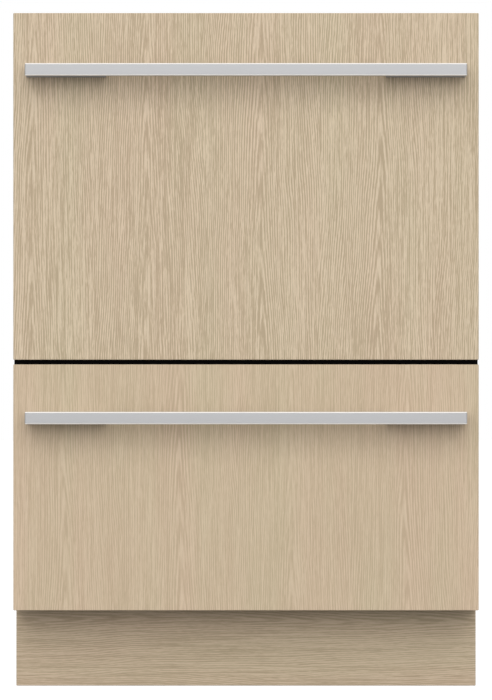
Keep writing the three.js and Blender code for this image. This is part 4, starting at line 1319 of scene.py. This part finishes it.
for drawer in DRAWERS:
    node = f"{drawer}_spray_arm"
    low, high = box(node)
    reach = (high.x - low.x) / 2
    under, top = low.z + 2, low.z + 12
    blade = block("blade", (0, -BLADE_ROOT, under), (reach, BLADE_ROOT, top))
    pick(blade, "FACE", facing(1, 0, 0))
    bpy.ops.transform.resize(value=(1, BLADE_TIP / BLADE_ROOT, 1))
    round_edges(blade, BLADE_TIP * 0.95, 8, stands_at_tip, False)
    parts = round_axis(round_edges(blade, 3, 3, lies_level), 2)
    spots = [(side * x, 0, top) for x in JET_PLACES for side in (-1, 1)]
    parts += at_places(turned("jet", JET, steps=20), spots)
    bore = TOWER_RADIUS + HOLE_SLIP
    bore_top = high.z - 3
    hub = [(bore, low.z), (HUB_RADIUS - 1, low.z), (HUB_RADIUS, low.z + 1), (HUB_RADIUS, top - 1)]
    hub += [(HUB_RADIUS - 3, top + 0.5), (14, high.z - 1), (13, high.z), (0, high.z), (0, bore_top)]
    hub += [(bore - 1, bore_top), (bore, bore_top - 1), (bore, low.z)]
    parts.append(turned("hub", hub, steps=48))
    rib = block("rib", (14, -0.8, top - 1), (20, 0.8, top + 1.6))
    parts += round_axis(rib, HUB_RIBS, start=HUB_RIB_START)
    arm = group(f"{drawer}_spray_wing", *parts)
    arm.data.transform(shift((*middle(node).xy, 0)))
    install(arm, tub_plastic, node, node)
print("spray arms: 2")

# %% [markdown]
# ## Racks
#
# A rack is bent from coated steel wire: wires run down one wall, across the bottom and up the other, both
# ways, and closed rings tie them. In Blender a wire is a path with a round section, and the bends are
# rounded corners of that path. The wires of the solids are kept, and one more is laid between each pair.

# %% Racks
WIRE = 3.6
RIM_WIRE = 4
RACK_RUNS = 13
RACK_CROSSINGS = 11
WIRE_BEND = 12
RING_BEND = 5
WIRE_STEP = 3  # between wires that cross
RACK_LIFT = 33.7  # from the rack's feet to its bottom wires
SHELF_DROP = 98  # from the rack's rim to the ring that carries the cup shelf
SEAT_RISE = 0.6  # from that ring to the short wires under the shelf
SEAT_REACH = 11.5
SEAT_INSET = 12
TALL = 80  # a rack with more than this under that ring has two rings more
SHOE = [(0, 0), (2, 0), (2.9, 1), (2.9, 9), (2, 10), (0, 10)]


def ring(x, y0, y1, z):
    """A closed ring of wire with rounded corners."""
    corners = [(0, y0, z), (x, y0, z), (x, y1, z), (-x, y1, z), (-x, y0, z), (0, y0, z)]
    return bent(corners, RING_BEND)[:-1], True


for drawer in DRAWERS:
    body = f"{drawer}_drawer"
    low, high = box(f"{drawer}_rack")
    half = RIM_WIRE / 2
    x, y0, y1, top = high.x - half, low.y + half, high.y - half, high.z - half
    bottom = low.z + RACK_LIFT
    above = bottom + WIRE_STEP
    paths = [
        bent([(-x, y, top), (-x, y, bottom), (x, y, bottom), (x, y, top)], WIRE_BEND)
        for y in spread(y0, y1, RACK_CROSSINGS)
    ]
    paths += [
        bent([(run, y0, top), (run, y0, above), (run, y1, above), (run, y1, top)], WIRE_BEND)
        for run in spread(-x, x, RACK_RUNS)
    ]
    legs = [(leg_x, leg_y) for leg_x in (-x, x) for leg_y in (y0, y1)]
    paths += [[(*leg, top), (*leg, low.z + 6)] for leg in legs]
    shelf_z = high.z - SHELF_DROP
    seat_z = shelf_z + SEAT_RISE
    shelf_low, shelf_high = box(f"{drawer}_cup_shelf")
    for seat_y in (shelf_low.y + SEAT_INSET, shelf_high.y - SEAT_INSET):
        paths.append([(-x, seat_y, seat_z), (SEAT_REACH - x, seat_y, seat_z)])
    levels = [shelf_z]
    if shelf_z - bottom > TALL:
        levels += [(shelf_z + bottom) / 2, (shelf_z + top) / 2]
    paths = [(path, False) for path in paths] + [ring(x, y0, y1, z) for z in levels]
    basket = wires("basket", paths, WIRE)
    rim = wires("rim", [ring(x, y0, y1, top)], RIM_WIRE, 12)
    install(group(f"{drawer}_wire_basket", basket, rim), rack_wire, body, f"{drawer}_rack")
    shoes = at_places(turned("shoe", SHOE, steps=16), [(*leg, low.z) for leg in legs])
    install(group(f"{drawer}_rack_shoes", *shoes), dark_plastic, body)
print("racks: 2, wires in the last:", len(paths) + 1)

# %% [markdown]
# ## Plate combs and cup shelves
#
# The tines that hold plates stand on a wire that turns, so that they fold flat. The cup shelf is a grid of
# wires on another such wire. A tine is turned with a rounded tip and copied along the comb. The shelf's
# outer wire is bent round its two corners.

# %% Combs and cup shelves
TINE_RADIUS = 1.5
TINE_PITCH = 33
TINE_END_GAP = 10
AXLE_RADIUS = 2.5
SHELF_WIRE = 3.2
SHELF_BEND = 8
SHELF_ARMS = 11


def axle_along(low, high, x, z):
    """The wire that a comb or shelf turns on, as long as its box is deep."""
    return round_edges(rod("axle", (x, low.y, z), (x, high.y, z), AXLE_RADIUS), 0.6)


for drawer in DRAWERS:
    node = f"{drawer}_plate_comb"
    low, high = box(node)
    x, z = middle(node).x, low.z + AXLE_RADIUS
    axle = axle_along(low, high, x, z)
    count = int((high.y - low.y - 2 * TINE_END_GAP) / TINE_PITCH) + 1
    first = (low.y + high.y - (count - 1) * TINE_PITCH) / 2
    length = high.z - z
    tine = [(0, 0), (TINE_RADIUS, 0), (TINE_RADIUS, length - 1.5), (1, length - 0.3), (0, length)]
    tines = at_places(turned("tine", tine, steps=12), [(x, first + k * TINE_PITCH, z) for k in range(count)])
    install(group(f"{drawer}_tine_comb", axle, *tines), rack_wire, node, node)

    node = f"{drawer}_cup_shelf"
    low, high = box(node)
    x0, x1, y0, y1 = low.x + AXLE_RADIUS, high.x - 2, low.y + 2, high.y - 2
    z = middle(node).z
    between = (low.x + high.x + AXLE_RADIUS) / 2
    lines = [bent([(x0, y0, z), (x1, y0, z), (x1, y1, z), (x0, y1, z)], SHELF_BEND)]
    lines += [[(between, y0, z), (between, y1, z)]]
    lines += [[(x0, y, z), (x1, y, z)] for y in spread(y0, y1, SHELF_ARMS)[1:-1]]
    axle = axle_along(low, high, x0, z)
    grid = wires("grid", [(line, False) for line in lines], SHELF_WIRE)
    install(group(f"{drawer}_wire_shelf", axle, grid), rack_wire, node, node)
print("combs: 2 of", count, "tines; shelves: 2")

# %% [markdown]
# ## Detergent dispensers
#
# The dispenser is a pale housing on the front wall of the tub. A copy of its solid keeps the cup and the
# guides for the door, with every edge softened as moulding leaves it. The door is a thin plate with four
# grip ridges, and beside it sits a small turned window that shows the level of the rinse aid.

# %% Dispensers
RIDGES = 4
RIDGE_PITCH = 5
RIDGE_START = 9  # from the door's side
RIDGE_REACH = 11
WINDOW_INSET = 11
WINDOW = [(0, -0.5), (6, -0.5), (6, 0.8), (5.2, 1.4), (4.2, 1.4), (3.8, 0.9), (0, 1.1)]

for drawer in DRAWERS:
    body = f"{drawer}_drawer"
    node = f"{drawer}_dispenser"
    install(softened(node, f"{drawer}_soap_housing", 0.7), pale_plastic, body, node)
    window_x = box(node)[1].x - WINDOW_INSET
    node = f"{node}_door"
    low, high = box(node)
    z = middle(node).z
    window = turned(f"{drawer}_level_window", WINDOW, (window_x, low.y - 0.3, z), (0, 1, 0))
    install(window, gloss_black, body)
    door = soft_block("door", low, high, 0.6)
    ends = (-0.9, high.y - 0.3, z - RIDGE_REACH), (0.9, high.y + 0.7, z + RIDGE_REACH)
    first = high.x - RIDGE_START
    places = [(first - k * RIDGE_PITCH, 0, 0) for k in range(RIDGES)]
    ridges = at_places(soft_block("ridge", *ends, 0.35), places)
    install(group(f"{drawer}_soap_door", door, *ridges), dark_plastic, node, node)
print("dispensers: 2")

# %% [markdown]
# ## Lids and seals
#
# A lid is a shallow tray that stays in the cabinet above its tub, held by four lugs, and is drawn down
# onto the rim to wash. Low ribs stiffen its floor. The seal under its edge is a soft rubber ring, so its
# edges are rounded until its section is nearly a half circle.

# %% Lids and seals
LID_WALL = 3
LID_RIB_HEIGHT = 3
LID_RIB_GAP = 20  # from the end of a rib to the lid's edge
LID_RIB_START = 60
LONG_RIBS = 5
CROSS_RIBS = 4

for drawer in DRAWERS:
    body = node = f"{drawer}_lid"
    lid = softened(node, f"{drawer}_lid_tray", 0.8)
    low, high = box(f"{drawer}_lid_seal")
    z0 = box(node)[0].z + LID_WALL - 1
    z1 = z0 + 1 + LID_RIB_HEIGHT
    rib = soft_block("rib", (-1, low.y + LID_RIB_GAP, z0), (1, high.y - LID_RIB_GAP, z1), 0.5)
    places = spread(low.x + LID_RIB_START, high.x - LID_RIB_START, LONG_RIBS)
    ribs = at_places(rib, [(x, 0, 0) for x in places])
    rib = soft_block("rib", (low.x + LID_RIB_GAP, -1, z0), (high.x - LID_RIB_GAP, 1, z1), 0.5)
    places = spread(low.y + LID_RIB_START, high.y - LID_RIB_START, CROSS_RIBS)
    ribs += at_places(rib, [(0, y, 0) for y in places])
    install(group(lid.name, lid, *ribs), tub_plastic, body, node)
    seal = softened(f"{drawer}_lid_seal", f"{drawer}_seal_ring", 2.2, 3)
    install(seal, black_rubber, body, f"{drawer}_lid_seal")
print("lids: 2")

# %% [markdown]
# ## Drain manifold
#
# Three services stand on the base tray behind the tubs. The manifold takes both hoses on two stubs and
# sends the water out through a barbed spigot. Its body is a block with moulded edges, and what is round on
# it is turned, bore and barbs in one profile.

# %% Drain manifold
SPIGOT_BORE = 7
STUB_OFFSET = 25
STUB_RISE = 14
STUB_SET_BACK = 43
MANIFOLD_HALF_DEPTH = 17
MANIFOLD_SCREW_X = 40

low, high = box("drain_manifold")
stub_y = box("rear_panel")[1].y - STUB_SET_BACK
top = high.z - STUB_RISE
back = stub_y + MANIFOLD_HALF_DEPTH
length = high.y - back
stub = [(5.5, -2), (9.5, -2), (9.5, 2), (HOSE_RADIUS, 4), (HOSE_RADIUS, STUB_RISE - 1)]
stub += [(HOSE_RADIUS - 1, STUB_RISE), (5.5, STUB_RISE), (5.5, -2)]
spigot = [(SPIGOT_BORE, -2), (12.5, -2), (12.5, 2), (10, 4), (10, 8), (11.5, 8), (10, 13), (10, 16)]
spigot += [(11.2, 16), (10, 20), (9.4, length), (SPIGOT_BORE, length), (SPIGOT_BORE, -2)]
mouth = (0, back, (low.z + top) / 2)
parts = [soft_block("manifold", low, (high.x, back, top), 3, 3)]
parts += at_places(turned("stub", stub), [(x, stub_y, top) for x in (-STUB_OFFSET, STUB_OFFSET)])
parts.append(turned("spigot", spigot, mouth, (0, 1, 0), 40))
plug = turned("manifold_bore", [(0, 0), (SPIGOT_BORE, 0), (SPIGOT_BORE, 1), (0, 1)], mouth, (0, 1, 0))
install(group("manifold_body", *parts), dark_plastic, "chassis", "drain_manifold")
install(plug, black_rubber, "chassis")
for side, sign in SIDES.items():
    screws(f"manifold_screw_{side}", [(sign * MANIFOLD_SCREW_X, stub_y, top)], (0, 0, 1))
print("manifold: back at", back)

# %% [markdown]
# ## Inlet valve
#
# Water comes in through a threaded port, and a copper coil on top opens the valve behind it. Port, caps
# and winding are turned. The thread and the turns of wire are the same zigzag as on the feet.

# %% Inlet valve
VALVE_X = 130
PORT_RADIUS = 13
PORT_LENGTH = 18
COIL_RADIUS = 15
COIL_LENGTH = 30
CAP_LEVELS = ((0, 4), (COIL_LENGTH - 5, COIL_LENGTH))
BLADE_REACH = 5  # beyond the coil

low, high = box("inlet_valve")
back = high.y - PORT_LENGTH
coil_foot = high.z - COIL_LENGTH
coil_y = (low.y + back) / 2
valve = soft_block("valve", low, (high.x, back, coil_foot + 1), 2, 3)
port = [(0, -2), (PORT_RADIUS, -2), (PORT_RADIUS, 3), *zigzag(PORT_RADIUS, 0.9, 3, 14, 1.8, 0.6, 1.3)]
port += [(PORT_RADIUS - 0.9, PORT_LENGTH - 0.8), (PORT_RADIUS - 1.5, PORT_LENGTH)]
port += [(9, PORT_LENGTH), (9, PORT_LENGTH - 3), (0, PORT_LENGTH - 3)]
port_z = low.z + 6 + PORT_RADIUS
parts = [valve, turned("port", port, (VALVE_X, back, port_z), (0, 1, 0), 40)]
for z0, z1 in CAP_LEVELS:
    cap = [(0, z0), (COIL_RADIUS - 0.5, z0), (COIL_RADIUS, z0 + 0.5), (COIL_RADIUS, z1 - 0.7)]
    cap += [(COIL_RADIUS - 0.7, z1), (0, z1)]
    parts.append(turned("cap", cap, (VALVE_X, coil_y, coil_foot), steps=40))
install(group("valve_body", *parts), pale_plastic, "chassis", "inlet_valve")
blade_low = (-0.4, coil_y - COIL_RADIUS - BLADE_REACH, coil_foot + 12)
blade = block("blade", blade_low, (0.4, coil_y, coil_foot + 18))
blades = at_places(blade, [(VALVE_X + x, 0, 0) for x in (-4, 4)])
install(group("valve_terminals", *blades), bright_steel, "chassis")
winding = [(0, 3.5), *zigzag(COIL_RADIUS - 1.9, 0.5, 4, 24.5, 1, 0, 0.5), (COIL_RADIUS - 2.4, 25), (0, 25)]
install(turned("valve_winding", winding, (VALVE_X, coil_y, coil_foot), steps=40), copper, "chassis")
print("inlet valve: port", port_z, "up")

# %% [markdown]
# ## Terminal box
#
# This is where the mains lead would go in, through a gland. Case and cover are two blocks with a narrow
# seam between them, and a core inside closes the seam. The gland is turned, and its nut is a rod with six
# sides.

# %% Terminal box
TERMINAL_X = -130
TERMINAL_HALF = 31
GLAND_LENGTH = 22
COVER_HEIGHT = 9
TERMINAL_SCREW_X = 22  # to each side of the middle
GLAND = [(0, -1), (11, -1), (11, 12), (10, 13), (10, 20), (8, 22), (5, 22), (5, 15), (0, 15)]

low, high = box("terminal_box")
x0, x1 = TERMINAL_X - TERMINAL_HALF, TERMINAL_X + TERMINAL_HALF
y0, y1 = low.y, high.y - GLAND_LENGTH
seam_z = high.z - COVER_HEIGHT
gland_z = middle("terminal_box").z
nut = rod("nut", (TERMINAL_X, y1 - 0.5, gland_z), (TERMINAL_X, y1 + 7, gland_z), 14.5, 6)
parts = [
    soft_block("case", (x0, y0, low.z), (x1, y1, seam_z - 0.5), 1.6),
    soft_block("core", (x0 + 1, y0 + 1, low.z + 1), (x1 - 1, y1 - 1, high.z - 1), 0.4),
    soft_block("cover", (x0, y0, seam_z + 0.5), (x1, y1, high.z), 1.6),
    turned("gland", GLAND, (TERMINAL_X, y1, gland_z), (0, 1, 0), 40),
    round_edges(nut, 0.8),
]
install(group("terminal_case", *parts), dark_plastic, "chassis", "terminal_box")
spots = [(TERMINAL_X + side * TERMINAL_SCREW_X, (y0 + y1) / 2, high.z) for side in (-1, 1)]
screws("terminal_screws", spots, (0, 0, 1), radius=2.8)
print("terminal box: seam at", seam_z)

# %% [markdown]
# ## Drain hoses
#
# Each hose hangs from its tub's elbow and comes down to the manifold, with enough slack for a fully open
# drawer. Its route repeats the points of the solid, most of which lie in one upright plane behind the tub.

# %% Routes of the hoses
STUB_TOP = 91.8
LEVEL = {  # places (x, z) behind the tub, all as far back as the elbow
    "upper": [(-180, 571.7), (-180, 555.7), (-150, 530), (-70, 523), (30, 523), (130, 520), (180, 492)]
    + [(168, 455), (110, 443), (20, 443), (-80, 440), (-150, 420), (-180, 370), (-176, 300)]
    + [(-140, 238), (-80, 208)],
    "lower": [(180, 300.7), (180, 284.7), (158, 262), (90, 250), (0, 247), (-100, 244), (-172, 226)]
    + [(-186, 190), (-150, 164), (-90, 160), (-46, 142)],
}
LANDING = {  # from there to the stub of the manifold
    "upper": [(-22, 291.5, 190), (12, 283.5, 162), (24, 270, 126), (25, 262, STUB_TOP + 12)]
    + [(25, 262, STUB_TOP)],
    "lower": [(-27, 268, 118), (-25, 262, STUB_TOP + 10), (-25, 262, STUB_TOP)],
}
routes = {
    drawer: [(x, ELBOW[drawer].y, z) for x, z in LEVEL[drawer]] + LANDING[drawer] for drawer in DRAWERS
}
print("routes:", {drawer: len(route) for drawer, route in routes.items()}, "points")

# %% [markdown]
# A hose can't turn sharply, so a curve is led through the points of the route. Each point of the curve is
# blended from four of the route, two on each side, and then the curve is cut into equal steps.

# %% A smooth curve through a route
STEPS = 24  # points of the curve between two of the route
KNOT_PAIRS = ((0, 1), (1, 2), (2, 3)), ((0, 2), (1, 3)), ((1, 2),)


def smooth(route, pitch):
    """Evenly spaced points on a smooth curve through those of a route, in metres, and its length."""
    route = [Vector(point) * MM for point in route]
    route = [2 * route[0] - route[1]] + route + [2 * route[-1] - route[-2]]
    fine = []
    for corners in zip(route, route[1:], route[2:], route[3:]):
        knots = [0.0]
        for a, b in zip(corners, corners[1:]):
            knots.append(knots[-1] + (b - a).length ** 0.5)
        for k in range(STEPS):
            t = knots[1] + (knots[2] - knots[1]) * k / STEPS
            points = corners
            for pairs in KNOT_PAIRS:  # each round blends neighbours, from four points down to one
                shares = [(t - knots[i]) / (knots[j] - knots[i]) for i, j in pairs]
                points = [a.lerp(b, share) for a, b, share in zip(points, points[1:], shares)]
            fine.append(points[0])
    fine.append(route[-2])
    length = sum((b - a).length for a, b in zip(fine, fine[1:]))
    count = round(length / pitch)
    even = [fine[0]]
    walked = 0.0
    for a, b in zip(fine, fine[1:]):
        span = (b - a).length
        while len(even) < count and walked + span >= len(even) * length / count:
            even.append(a.lerp(b, (len(even) * length / count - walked) / span))
        walked += span
    return even + [fine[-1]], length


print("smooth curve:", STEPS, "points in each stretch")

# %% [markdown]
# The radius changes along the curve, two points thick and two points thin, which makes the ribs. One end
# belongs to the drawer and the other to the chassis.

# %% Drain hoses
RIB_PITCH = 4.4
POINTS_PER_RIB = 4
RIB_THIN = 0.84
PLAIN_END = 12  # points without ribs at each end
HOSE_SMOOTH_ANGLE = math.radians(60)


def ribbed(index, count):
    """The hose's radius at one of its points, as a share of the full one."""
    at_end = min(index, count - 1 - index) < PLAIN_END
    return 1.0 if at_end or index % POINTS_PER_RIB < POINTS_PER_RIB / 2 else RIB_THIN


for drawer in DRAWERS:
    points, length = smooth(routes[drawer], RIB_PITCH / POINTS_PER_RIB * MM)
    path = [point / MM for point in points]
    hose = wires(f"{drawer}_ribbed_hose", [(path, False)], 2 * HOSE_RADIUS, 14, ribbed)
    hose.data.materials.append(black_rubber)
    bpy.ops.object.shade_smooth_by_angle(angle=HOSE_SMOOTH_ANGLE)
    clear()
    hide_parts(f"{drawer}_drain_hose")
    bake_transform(hose)
    print(drawer, "hose:", round(length, 3), "m,", len(points), "rings")

# %% [markdown]
# ## Hose clamps and clip
#
# A spring clamp holds each end of a hose, and a clip on the rear panel holds the upper hose where it hangs
# straight down. A clamp is a turned band with two ears. Each rides on what that end belongs to.

# %% Clamps
BAND_INNER = HOSE_RADIUS + 0.1
CLAMP_WALL = 1.1
CLAMP_DROP = 8  # from the elbow's end to the middle of the clamp
CLAMP_LIFT = 6
CLIP_PLACE = (-178.8, ELBOW["upper"].y, 335)


def band(name, wall, half_height, place=(0, 0, 0), steps=40):
    """An upright ring that fits round a hose."""
    inner, outer = BAND_INNER, BAND_INNER + wall
    profile = [(inner, -half_height), (outer, -half_height), (outer, half_height), (inner, half_height)]
    return turned(name, [*profile, profile[0]], place, steps=steps)


def clamp(name, place, body):
    """A band with two ears that point to the front."""
    x = BAND_INNER + CLAMP_WALL
    ear = soft_block("ear", (x - 0.6, -0.6, -3), (x + 3, 0.6, 3), 0.4, 1)
    ears = at_places(ear, [(0, y, 0) for y in (-2, 2)])
    piece = group(name, band("band", CLAMP_WALL, 4), *ears)
    piece.data.transform(shift(place) @ Matrix.Rotation(-math.pi / 2, 4, "Z"))
    install(piece, bright_steel, body)


for drawer in DRAWERS:
    top = ELBOW[drawer] - Vector((0, 0, ELBOW_REACH + CLAMP_DROP))
    clamp(f"{drawer}_hose_top_clamp", top, f"{drawer}_drawer")
    foot = Vector(LANDING[drawer][-1]) + Vector((0, 0, CLAMP_LIFT))
    clamp(f"{drawer}_hose_foot_clamp", foot, "chassis")
install(band("hose_clip", 1.7, 5, CLIP_PLACE, 32), dark_plastic, "chassis")
print("clamps: 4, clip: 1")

# %% Clearing the selection
clear()
